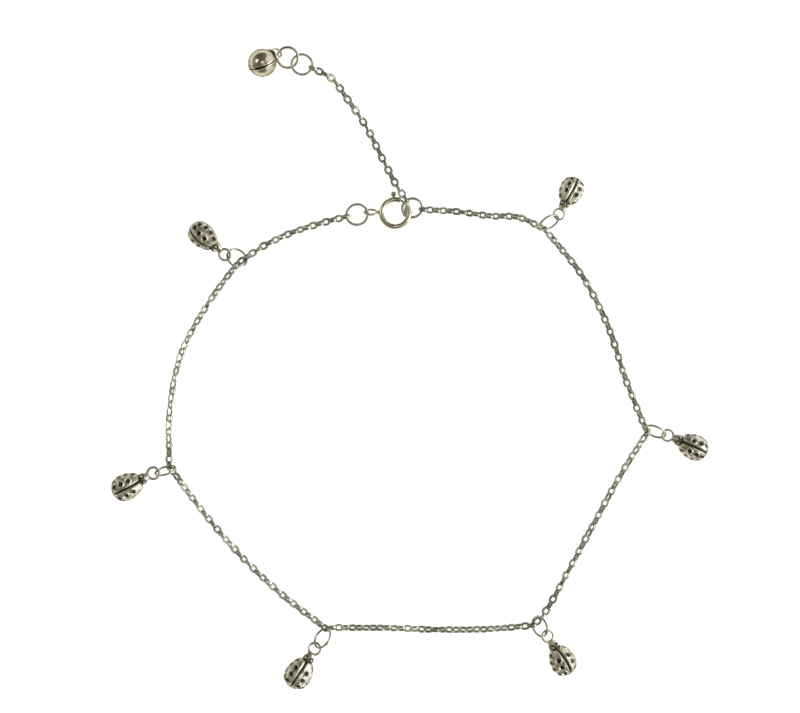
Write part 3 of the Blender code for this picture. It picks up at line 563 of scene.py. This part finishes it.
# %% The charm's sizes and the egg
EYE_RING = dict(outer=2.38, wire=0.42, height=1.45, collar=0.35)
HEAD = dict(length=1.50, width=1.75, height=1.75, sink=0.95, drop=0.08)
BODY = dict(length=5.70, width=4.20, height=3.75, taper=0.18, cut=0.25)
HEAD_Y = -(EYE_RING["outer"] / 2 + EYE_RING["collar"] + HEAD["length"] / 2 - EYE_RING["wire"] / 2)
BODY_Y = HEAD_Y - HEAD["length"] / 2 + HEAD["sink"] - BODY["length"] / 2
FLOOR_Z = -EYE_RING["height"]
BODY_Z = FLOOR_Z + BODY["height"] / 2 - BODY["cut"]
SPOTS = [(0.42, 33), (0.65, 34), (0.86, 43), (0.41, 82), (0.62, 82), (0.21, 76), (0.82, 76)]


def egg(share, turn):
    """y falls with the share of the length; x and z are the half width and half height times sin s, and a taper."""
    cos_s = 1 - 2 * share
    sin_s = np.sqrt(np.clip(1 - cos_s ** 2, 0, 1))
    swell = sin_s * (1 - BODY["taper"] * cos_s)
    x = BODY["width"] / 2 * swell * np.sin(turn)
    z = BODY["height"] / 2 * swell * np.cos(turn)
    return np.stack([x, BODY["length"] / 2 * cos_s + 0 * turn, z], -1)


def on_ray(share, degrees):
    """The point of the egg at a share of its length, on a ray at an angle from straight up."""
    angle = np.radians(degrees)
    swell = math.sqrt(1 - (1 - 2 * share) ** 2) * (1 - BODY["taper"] * (1 - 2 * share))
    far = swell / math.hypot(math.sin(angle) / (BODY["width"] / 2), math.cos(angle) / (BODY["height"] / 2))
    return np.array([far * math.sin(angle), BODY["length"] / 2 * (1 - 2 * share), far * math.cos(angle)])


spot_points = np.array([on_ray(share, side * angle) for share, angle in SPOTS for side in (-1, 1)])
print("spots on one charm:", len(spot_points))

# %% [markdown]
# ## Relief of the wings
#
# The model was carved before it was cast: a groove down the back where the wings part, with a soft ridge on either
# side, and a V line behind the shoulders, in front of which the skin is lower. Each spot is a dark dimple with a
# raised bright rim. All of it is one grid: the egg gives the base point, its gradient gives the way out, and the
# relief is added along it from the distance to each line and to the nearest spot. The columns crowd towards the
# top, where the detail is.

# %% Carve the wings
HEIGHTS = dict(rim=0.13, pit=0.15, dome=0.05, groove=0.22, ridge=0.09, hem=0.06, front=0.40, collar=0.10)
WIDTHS = dict(rim=0.09, dome=0.12, groove=0.15, ridge=0.11, hem=0.07, collar=0.016)
SPOT_RADIUS = 0.50
PIT_EDGE = (0.27, 0.43)
RIDGE_AT = 0.40
HEM_Z = -0.62
BODY_ROWS, BODY_COLUMNS = 130, 176


def bell_curve(distance, width):
    """e to the power of minus the square of distance over width: 1 at no distance, and 0.37 at the width."""
    return np.exp(-(distance / width) ** 2)


def step_down(value, start, end):
    """1 below start, 0 above end, and a smooth fall between."""
    t = np.clip((value - start) / (end - start), 0, 1)
    return 1 - t * t * (3 - 2 * t)


def body_part():
    """The egg with its relief, cut flat where it rests, in the charm's own place."""
    s = (1 - np.cos(np.linspace(0, np.pi, BODY_ROWS))) / 2
    u = np.linspace(0, 2 * np.pi, BODY_COLUMNS, endpoint=False)
    share, turn = np.meshgrid(s, u - 0.4 * np.sin(u), indexing="ij")
    skin = egg(share, turn)
    halves = np.array([BODY["width"], BODY["length"], BODY["height"]]) / 2
    out = unit(skin / halves ** 2)
    away = np.linalg.norm(skin[:, :, None] - spot_points, axis=-1).min(-1)
    upper = step_down(-skin[..., 2], -0.6, 0.3)
    back = step_down(share, 0.93, 0.98)
    seam = np.abs(skin[..., 0])
    groove = bell_curve(seam, WIDTHS["groove"]) * upper * back
    ridge = bell_curve(seam - RIDGE_AT, WIDTHS["ridge"]) * upper * back
    hem = bell_curve(skin[..., 2] - HEM_Z, WIDTHS["hem"]) * step_down(-share, -0.14, -0.04)
    collar_line = share - (0.155 - 0.11 * seam)
    collar_cut = bell_curve(collar_line, WIDTHS["collar"]) * upper
    front = step_down(collar_line, -0.02, 0.03)
    rim = bell_curve(away - SPOT_RADIUS, WIDTHS["rim"])
    pit = step_down(away, *PIT_EDGE)
    relief = HEIGHTS["rim"] * rim - HEIGHTS["pit"] * pit + HEIGHTS["dome"] * bell_curve(away, WIDTHS["dome"])
    relief += HEIGHTS["ridge"] * ridge - HEIGHTS["groove"] * groove - HEIGHTS["hem"] * hem
    relief -= HEIGHTS["front"] * front + HEIGHTS["collar"] * collar_cut
    skin = skin + out * relief[..., None]
    skin[..., 2] = np.maximum(skin[..., 2] + BODY_Z, FLOOR_Z)
    skin[..., 1] += BODY_Y
    rubbed = 0.35 * bell_curve(away, 0.11)
    oxide_and_shade = np.clip(pit - rubbed + 1.3 * groove + 0.5 * hem + 0.9 * collar_cut, 0, 1)
    return sheet_of(skin, oxide_and_shade=oxide_and_shade)


print("points in one body:", BODY_ROWS * BODY_COLUMNS)

# %% [markdown]
# ## Head, neck and loop
#
# The head is a smaller egg with two bead eyes, each in a sunken ring inside a raised socket. A short collar narrows
# from it to the loop that the casting ends in, which takes the jump ring. The four parts overlap where they join.

# %% The rest of the casting
EYE_BEADS = np.array([(-0.47, HEAD_Y + 0.03, 0.63), (0.47, HEAD_Y + 0.03, 0.63)])
SOCKET = dict(height=0.22, ring_depth=0.17, ring_radius=0.31, bead_height=0.06)
COLLAR = dict(head_half=0.92, loop_half=0.56, flatness=0.75)


def head_part():
    """An egg whose relief is a raised socket round each eye, a sunk ring in it, and a dome in its middle."""
    s, t = np.meshgrid(np.linspace(0, np.pi, 84), np.linspace(0, 2 * np.pi, 120, endpoint=False), indexing="ij")
    halves = np.array([HEAD["width"], HEAD["length"], HEAD["height"]]) / 2
    skin = np.stack([np.sin(s) * np.sin(t), np.cos(s) + 0 * t, np.sin(s) * np.cos(t)], -1) * halves
    out = unit(skin / halves ** 2)
    skin = skin + np.array([0, HEAD_Y, -HEAD["drop"]])
    away = np.linalg.norm(skin[:, :, None] - EYE_BEADS, axis=-1).min(-1)
    socket = step_down(away, 0.44, 0.54)
    ring = bell_curve(away - SOCKET["ring_radius"], 0.10)
    bead = bell_curve(away, 0.16)
    relief = SOCKET["height"] * socket - SOCKET["ring_depth"] * ring + SOCKET["bead_height"] * bead
    # Painted shade: the lower half of the head is darkened towards the table, on top of the oxide in the sunk rings.
    under = 0.5 * step_down(skin[..., 2], -0.9, -0.3)
    return sheet_of(skin + out * relief[..., None], oxide_and_shade=np.clip(0.95 * ring + under, 0, 1))


def neck_part():
    """A tube of ellipses, the collar, whose half width falls from the head's to the loop's."""
    t = np.linspace(0, 1, 18)
    y = HEAD_Y + 0.30 + t * (-(EYE_RING["outer"] / 2 - EYE_RING["wire"]) - 0.16 - HEAD_Y - 0.30)
    half = COLLAR["head_half"] - (COLLAR["head_half"] - COLLAR["loop_half"]) * t
    v = np.linspace(0, 2 * np.pi, 36, endpoint=False)
    high = COLLAR["flatness"] * half
    grid = np.stack([half[:, None] * np.sin(v), y[:, None] + 0 * v, high[:, None] * np.cos(v)], -1)
    dark = np.concatenate([[0], 0.15 * bell_curve(t, 0.2), [0]])
    return sheet_of(with_ends(grid), oxide_and_shade=dark[:, None] + 0 * v)


def loop_part():
    """A round loop of wire, up to an eighth thicker on the side of the collar."""
    radius = (EYE_RING["outer"] - EYE_RING["wire"]) / 2
    curve = arc(radius, 0, 360, 57)[:-1]
    thick = EYE_RING["wire"] / 2 * (1 + 0.12 * np.clip(-curve[:, 1] / radius, 0, 1))
    return sheet_of(wire(curve, thick, 14), wrap_rows=True)


casting = [body_part(), head_part(), neck_part(), loop_part()]
print("points in one casting:", sum(len(points) for points, _, _ in casting))

# %% [markdown]
# ## Six castings as they lie
#
# The six charms are one casting, laid six ways: each points its loop at its own jump ring, and rests on its belly
# or on a flank. Their sizes differ by a few percent, and the first one's loop is bent round against its body. The
# place of the loop and the turns were read off the photo, and the height comes from the solid: the mean of its
# corners, less the turned mean of the casting's corners. Towards the table a share of painted shade darkens the
# casting.

# %% Lay the charms
# For each charm: the loop's middle, (heading, pitch, roll) in degrees, the loop's twist, and the size.
LAID = [
    ((-30.7, 18.8), (-42.9, 2.0, 42.0), -22.0, 0.98), ((-42.6, -17.6), (27.0, 2.0, 8.0), 0.0, 1.00),
    ((-15.7, -46.85), (57.7, 0.0, 0.0), 0.0, 1.00), ((23.1, -44.7), (120.2, 10.0, 15.0), 0.0, 0.98),
    ((43.1, -11.3), (155.9, 10.0, 0.0), 0.0, 0.96), ((25.0, 25.5), (243.0, 13.0, -5.0), 0.0, 0.91),
]
# The share of painted shade low on the body, the head, the collar and the loop.
LOW_PAINTED_SHADE = (0.55, 0.2, 0.0, 0.0)
PAINTED_SHADE_FADES = (1.1, 2.7)


def turned(heading, pitch, roll):
    """Rolls about Y, then pitches about X, then heads about Z."""
    turn = Matrix.Rotation(math.radians(heading - 90), 3, "Z")
    turn @= Matrix.Rotation(math.radians(pitch), 3, "X")
    turn @= Matrix.Rotation(math.radians(roll), 3, "Y")
    return np.array(turn)


def twisted(points, twist):
    """Turns the points about Y by a share of the twist, from 0 behind the collar to 1 in front of it."""
    back, front = -EYE_RING["outer"] / 2 - EYE_RING["collar"], -EYE_RING["outer"] / 2 + EYE_RING["wire"]
    angle = math.radians(twist) * np.clip((points[:, 1] - back) / (front - back), 0, 1)
    x, y, z = points.T
    return np.stack([x * np.cos(angle) + z * np.sin(angle), y, z * np.cos(angle) - x * np.sin(angle)], -1)


def shaded(points, depth, share):
    """Adds painted shade low on the casting, which fades between two heights over the table."""
    return np.clip(depth + share * step_down(points[:, 2], *PAINTED_SHADE_FADES), 0, 1)


flat_turn = turned(*LAID[2][1])
flat_place = np.array([*LAID[2][0], EYE_RING["height"]])
casting_mean = flat_turn.T @ (corners_of("ladybird_3").mean(0) - flat_place)
for number, (eye, lie, twist, size) in enumerate(LAID, 1):
    turn = turned(*lie)
    place = corners_of(f"ladybird_{number}").mean(0) - turn @ (size * casting_mean)
    place[:2] = eye
    parts = []
    for (points, faces, depth), share in zip(casting, LOW_PAINTED_SHADE):
        points = placed(size * twisted(points, twist), turn, place)
        # Painted shade towards the table is added to each part's dark of oxide.
        parts.append((points, faces, shaded(points, depth, share)))
    charm = make_piece(f"ladybird_{number}_cast", parts, cast_silver)
    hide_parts(f"ladybird_{number}")

# %% [markdown]
# ## Walls with an opening
#
# The clasp's ring is a tube with a slot for the thumb knob, and the bell is a shell with a slit. Both are a wall
# between two grids, an outer and an inner one, where some cells are left out. Wherever a kept cell meets a left-out
# one, a strip joins the outer edge to the inner edge, so the wall shows its real thickness.

# %% A wall between two grids
def walled(outer, inner, keep, oxide_and_shade=None):
    """Keeps the marked cells of both grids, and joins the two along every edge between a kept and a dropped cell."""
    rows, columns = outer.shape[:2]
    size = rows * columns
    cells = quads(rows, columns).reshape(rows - 1, columns, 4)
    shown = cells[keep]
    faces = [shown, shown[:, ::-1] + size]
    padded = np.pad(keep, ((1, 1), (0, 0)))
    for side, there in ((0, padded[:-2]), (2, padded[2:]), (1, np.roll(keep, -1, 1)), (3, np.roll(keep, 1, 1))):
        edge = cells[keep & ~there]
        a, b = edge[:, side], edge[:, (side + 1) % 4]
        faces.append(np.stack([b, a, a + size, b + size], -1))
    points = np.concatenate([outer.reshape(-1, 3), inner.reshape(-1, 3)])
    depth = np.zeros(2 * size) if oxide_and_shade is None else np.concatenate([oxide_and_shade.reshape(-1), np.ones(size)])
    return points, np.concatenate(faces), depth


# %% [markdown]
# ## The bolt ring
#
# A bolt ring is a silver tube bent round, with a gap that a sprung bolt closes. A knob on the bolt pokes out
# through a slot, so that a thumb can draw it back. A flat plate inside the ring stops the bolt, and a wire eye is
# soldered to its back. Its axes come from the clasp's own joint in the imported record, and angles are counted from
# the side of the end ring. The plate's inner edge was read off the photo as a few corners.

# %% The bolt ring's tube, plate and eye
joint = frame["joints"][0]
clasp_middle = np.array(joint["pos_m"]) / MM
reach = places["end_ring"][0] - clasp_middle
clasp_axes = axes_from(joint["axis"], (reach[0], reach[1], 0.0))
CLASP = dict(radius=2.29, tube=0.86, bore=0.54, gap=(17.0, 53.0), knob=79.0, travel=38.0, reach=0.50)
EYE = dict(length=2.50, width=1.84, wire=0.38, angle=161.0, twist=47.0, shank=0.12, solder=0.32)
PLATE_TURN = (15, -41)
PLATE_EDGE = np.array([(1.93, 0.51), (1.62, 0.30), (1.50, -0.10), (1.42, -0.42), (1.00, -0.66), (1.51, -1.32)])


def clasp_tube():
    """A tube from one side of the gap round to the other, a tenth thicker at its mouths, without the slot's cells."""
    turn = np.linspace(CLASP["gap"][1], CLASP["gap"][0] + 360, 163)
    middle = arc(CLASP["radius"], CLASP["gap"][1], CLASP["gap"][0] + 360, 163)
    ends = np.minimum(turn - turn[0], turn[-1] - turn)
    lip = 1 + 0.10 * np.exp(-(ends / 3.0) ** 4)
    outer = wire(middle, CLASP["tube"] / 2 * lip, 40, closed=False)
    inner = wire(middle, CLASP["bore"] / 2, 40, closed=False)
    slot = (turn > CLASP["knob"] - 4) & (turn < CLASP["knob"] + CLASP["travel"] + 4)
    keep = np.ones((162, 40), bool)
    keep[np.ix_(slot[:-1] & slot[1:], [39, 0, 1, 38])] = False
    return walled(outer, inner, keep)


def stop_plate():
    """A thin plate between the arc of the bore's inner side and PLATE_EDGE, with chamfered rims on both faces."""
    angle = np.radians(np.linspace(*PLATE_TURN, 29))
    edge = np.stack([np.cos(angle), np.sin(angle)], -1) * (CLASP["radius"] - CLASP["bore"] / 2 - 0.02)
    chord = np.stack([np.interp(np.linspace(0, 5, 29), range(6), PLATE_EDGE[:, k]) for k in (0, 1)], -1)
    across = np.array([0.0, 0.04, 0.5, 0.96, 1.0])
    flat = chord[:, None] + (edge - chord)[:, None] * across[None, :, None]
    high = np.array([0.06, 0.12, 0.12, 0.12, 0.06])
    top = np.concatenate([flat, np.broadcast_to(high, (29, 5))[..., None]], -1)
    under = top[:, ::-1] * (1, 1, -1)
    return sheet_of(with_ends(np.concatenate([top, under], 1)))


def oval(length, width, count):
    """An ellipse: x = half the length times cos, y = half the width times sin."""
    turn = np.linspace(0, 2 * np.pi, count, endpoint=False)
    return np.stack([length / 2 * np.cos(turn), width / 2 * np.sin(turn), 0 * turn], -1)


def clasp_eye():
    """An oval of wire, its plane turned about the line out from the ring, with a bead of solder at its foot."""
    out = arc(1.0, EYE["angle"], EYE["angle"], 1)[0]
    twist = math.radians(EYE["twist"])
    up = np.array([0, 0, 1.0]) * math.cos(twist) + np.cross(out, (0, 0, 1.0)) * math.sin(twist)
    middle = out * (CLASP["radius"] + CLASP["tube"] / 2 + EYE["shank"] + EYE["length"] / 2)
    curve = oval(EYE["length"] - EYE["wire"], EYE["width"] - EYE["wire"], 56)
    loop = placed(wire(curve, EYE["wire"] / 2, 14), axes_from(up, out), middle)
    foot = out * (CLASP["radius"] + CLASP["tube"] / 2 + EYE["shank"] / 2)
    return [sheet_of(loop, wrap_rows=True), sheet_of(foot + ball(16, 24) * EYE["solder"])]


def to_clasp(part):
    """Moves a part from the clasp's own axes to its place."""
    points, faces, depth = part
    return placed(points, clasp_axes, clasp_middle), faces, depth


ring_parts = [to_clasp(part) for part in [clasp_tube(), stop_plate(), *clasp_eye()]]
bolt_ring = make_piece("bolt_ring_tube", ring_parts, tube_silver)
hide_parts("bolt_ring")

# %% [markdown]
# ## The bolt
#
# The bolt is a curved pin that slides inside the tube and bridges the gap. Its knob is a small turned ball on a
# stem. It rides on its own body, so it slides when the joint moves.

# %% Pin, stem and knob
BOLT = dict(start=13.0, end=91.0, dome=4.0, radius=0.19, stem=0.10, knob=0.45)


def bolt_parts():
    """An arc of round wire with domed ends, and a straight stem with a ball, turned as one profile about its line."""
    turn = np.linspace(BOLT["start"], BOLT["end"], 60)
    to_end = np.clip(np.minimum(turn - BOLT["start"], BOLT["end"] - turn) / BOLT["dome"], 0, 1)
    dome = np.sqrt(np.clip(1 - (1 - to_end) ** 2, 0.02, 1))
    pin = wire(arc(CLASP["radius"], BOLT["start"], BOLT["end"], 60), BOLT["radius"] * dome, 18, closed=False)
    out = arc(1.0, CLASP["knob"], CLASP["knob"], 1)[0]
    far = CLASP["radius"] + CLASP["tube"] / 2 + CLASP["reach"]
    side = np.cross(out, (0, 0, 1.0))
    stem = [(CLASP["radius"], BOLT["stem"]), (far - 0.50, BOLT["stem"]), (far - 0.46, BOLT["stem"] + 0.04)]
    angle = np.linspace(np.radians(160), 0, 22)
    head = np.stack([far + BOLT["knob"] * np.cos(angle), np.maximum(BOLT["knob"] * np.sin(angle), 1e-4)], -1)
    profile = np.vstack([stem, head])
    v = np.linspace(0, 2 * np.pi, 24, endpoint=False)
    ring = side * np.cos(v)[:, None] + np.array([0, 0, 1.0]) * np.sin(v)[:, None]
    knob = profile[:, 0, None, None] * out + profile[:, 1, None, None] * ring
    return [sheet_of(with_ends(pin)), sheet_of(with_ends(knob))]


bolt = make_piece("bolt_pin", [to_clasp(part) for part in bolt_parts()], drawn_silver, body="bolt")
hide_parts("bolt")

# %% [markdown]
# ## The bell
#
# The bell is a thin shell spun from sheet. A slit runs over it from one side of the cap to the other, and its edges
# are turned up into lips. The shell is worked out about the slit's own plane: rows run from pole to pole across the
# slit, and columns run along it. The cells of the slit are left out of the wall. Tarnish lies along the foot of
# each lip and behind the cap, where a cloth doesn't reach.

# %% Shell, cap and loop
BELL = dict(
    at=(-24.42, 50.72), radius=2.35, wall=0.28, heading=35.3, droop=31.0, turn=-1.0, lean=24.0, slit=0.24, reach=1.05,
    lip=0.07, loop_radius=0.87, loop_wire=0.36, loop_twist=-14.3,
)
low, high = corners_of("bell").min(0), corners_of("bell").max(0)
bell_middle = np.array([*BELL["at"], (low[2] + high[2]) / 2])


def rotation(axis, degrees):
    """The matrix of a turn about one axis."""
    return np.array(Matrix.Rotation(math.radians(degrees), 3, axis))


bell_axes = rotation("Z", BELL["heading"]) @ rotation("Y", BELL["droop"])
slit_axes = rotation("X", BELL["lean"]) @ rotation("Z", BELL["turn"])


def bell_shell():
    """A sphere whose rows are heights over the slit's plane, swollen into a lip at the slit's edges."""
    edge = math.asin(BELL["slit"] / 2 / BELL["radius"])
    half = np.concatenate([np.linspace(edge, edge + 0.28, 16), np.linspace(edge + 0.30, np.pi / 2, 44)])
    height = np.concatenate([-half[::-1], half])
    around = np.linspace(0, 2 * np.pi, 160, endpoint=False)
    h, a = np.meshgrid(height, around, indexing="ij")
    far = np.arccos(np.clip(np.cos(a), -1, 1))
    beside = 1 - step_down(far, 1.02, 1.16)
    lip = BELL["lip"] * bell_curve(np.abs(h) - edge - 0.04, 0.08) * beside
    sphere = np.stack([np.cos(h) * np.cos(a), np.sin(h), np.cos(h) * np.sin(a)], -1)
    outer = sphere * (BELL["radius"] + lip)[..., None]
    inner = sphere * (BELL["radius"] - BELL["wall"])
    keep = np.ones((len(height) - 1, 160), bool)
    cut = np.cos(around + np.pi / 160) * BELL["radius"] < BELL["reach"]
    keep[len(half) - 1, cut] = False
    dark = 0.30 * bell_curve(np.abs(h) - edge - 0.16, 0.07) * beside
    points, faces, depth = walled(outer, inner, keep, oxide_and_shade=dark)
    return placed(points, slit_axes, 0), faces, depth


def bell_cap():
    """A disc with a rolled edge, closed at both faces: x is the place along the bell's axis and r the radius."""
    r = np.array([1e-4, 0.7, 1.18, 1.27, 1.30, 1.27, 1.18, 0.7, 1e-4])
    x = np.array([0.165, 0.16, 0.15, 0.12, 0.0, -0.12, -0.15, -0.16, -0.165]) + BELL["radius"] + 0.02
    v = np.linspace(0, 2 * np.pi, 48, endpoint=False)
    grid = np.stack([x[:, None] + 0 * v, r[:, None] * np.cos(v), r[:, None] * np.sin(v)], -1)
    dark = np.array([0, 0, 0, 0, 0, 0.1, 0.3, 0.3, 0.3])[:, None] + 0 * v
    return sheet_of(grid, oxide_and_shade=dark)


def bell_loop():
    """A round loop of wire on the cap."""
    middle = np.array([BELL["radius"] + 0.075 + 1.05 - 0.18, 0, 0])
    grid = wire(arc(BELL["loop_radius"], 0, 360, 49)[:-1], BELL["loop_wire"] / 2, 14)
    return sheet_of(placed(grid, rotation("X", BELL["loop_twist"]), middle), wrap_rows=True)


def to_bell(part):
    """Moves a part from the bell's own axes to its place."""
    points, faces, depth = part
    return placed(points, bell_axes, bell_middle), faces, depth


bell = make_piece("bell_shell", [to_bell(part) for part in [bell_shell(), bell_cap(), bell_loop()]], bell_silver)
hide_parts("bell")

# %% [markdown]
# ## The white sheet
#
# The anklet was shot on a sheet so bright that it came out pure white, without a shadow. A lit acrylic sheet does
# that, so the floor is matt, pale, and gives off light of its own. It lies a hair below the anklet.

# %% White sheet
SHEET_HALF = 0.6
SHEET_TOP = -0.00002
sheet_corners = [(x * SHEET_HALF, y * SHEET_HALF, SHEET_TOP) for x, y in ((-1, -1), (1, -1), (1, 1), (-1, 1))]
floor_mesh = bpy.data.meshes.new("white_sheet")
floor_mesh.from_pydata(sheet_corners, [], [(0, 1, 2, 3)])
floor = bpy.data.objects.new("white_sheet", floor_mesh)
bpy.context.scene.collection.objects.link(floor)
acrylic = bpy.data.materials.new("lit_white_acrylic")
acrylic.use_nodes = True
glow = acrylic.node_tree.nodes["Principled BSDF"].inputs
glow["Base Color"].default_value = linear("#E0E0E0")
glow["Roughness"].default_value = 0.9
glow["Specular IOR Level"].default_value = 0.0
glow["Emission Color"].default_value = (1.0, 1.0, 1.0, 1.0)
glow["Emission Strength"].default_value = 0.85
floor_mesh.materials.append(acrylic)
print("floor:", floor.name)

# %% [markdown]
# ## The light tent
#
# Silver shows what is round it. In the photo each wire has a dark olive middle and a white line on its right, so
# the tent is bright on the right and dim olive-brown elsewhere, also overhead, where the camera looks in, with a
# paler wall at the far left. A ramp along X paints it. Two panels and two small lamps add glints.

# %% Light tent
world = bpy.data.worlds.new("light_tent")
bpy.context.scene.world = world
world.use_nodes = True
tree = world.node_tree
tree.nodes["Background"].inputs["Strength"].default_value = 1.0
direction = add(tree, "TexCoord").outputs["Generated"]
toward = add(tree, "SeparateXYZ", links={"Vector": direction})
across = add(tree, "MapRange", {"From Min": -1.0, "From Max": 1.0}, {"Value": toward.outputs["X"]}).outputs["Result"]
side_glow = ramp(tree, across, [
    (0.0, "#B4AD99"), (0.22, "#6E654F"), (0.45, "#6C6553"), (0.62, "#7F7A6B"),
    (0.71, "#97948A"), (0.80, 1.3), (1.0, 1.4),
])
tree.links.new(side_glow, tree.nodes["Background"].inputs["Color"])


def soft_box(name, place, size, power):
    """A square area light that faces the middle of the anklet."""
    light = bpy.data.lights.new(name, "AREA")
    light.size = size
    light.energy = power
    lamp = bpy.data.objects.new(name, light)
    bpy.context.scene.collection.objects.link(lamp)
    lamp.location = place
    lamp.rotation_euler = (-lamp.location).to_track_quat("-Z", "Y").to_euler()


soft_box("right_panel", (0.60, -0.10, 0.20), 0.40, 1.6)
soft_box("left_panel", (-0.60, 0.25, 0.55), 0.30, 0.6)
soft_box("key_lamp", (0.04, 0.10, 0.80), 0.09, 0.22)
soft_box("side_lamp", (-0.10, 0.06, 0.80), 0.06, 0.12)

# %% [markdown]
# ## The camera
#
# The camera looks straight down from over a metre away through a long lens, so there is next to no perspective,
# and 6 of the picture's 800 pixels are 1 mm, measured 1 mm above the table, where most of the metal is.

# %% Camera
PICTURE_WIDTH = 800
PIXELS_PER_MM = 6.0
VIEW_MIDDLE = (-1.5, 1.83)
METAL_HEIGHT = 1.0
camera_data = bpy.data.cameras.new("camera")
camera_data.sensor_width = 36.0
camera_data.lens = 300.0
camera_data.clip_start, camera_data.clip_end = 0.05, 10.0
distance = PICTURE_WIDTH / PIXELS_PER_MM * MM * camera_data.lens / camera_data.sensor_width
camera = bpy.data.objects.new("camera", camera_data)
bpy.context.scene.collection.objects.link(camera)
camera.location = (VIEW_MIDDLE[0] * MM, VIEW_MIDDLE[1] * MM, distance + METAL_HEIGHT * MM)
bpy.context.scene.camera = camera
bpy.context.scene.view_settings.view_transform = "Standard"
bpy.context.scene.view_settings.exposure = 0.0
print("camera height:", round(distance, 3), "m")
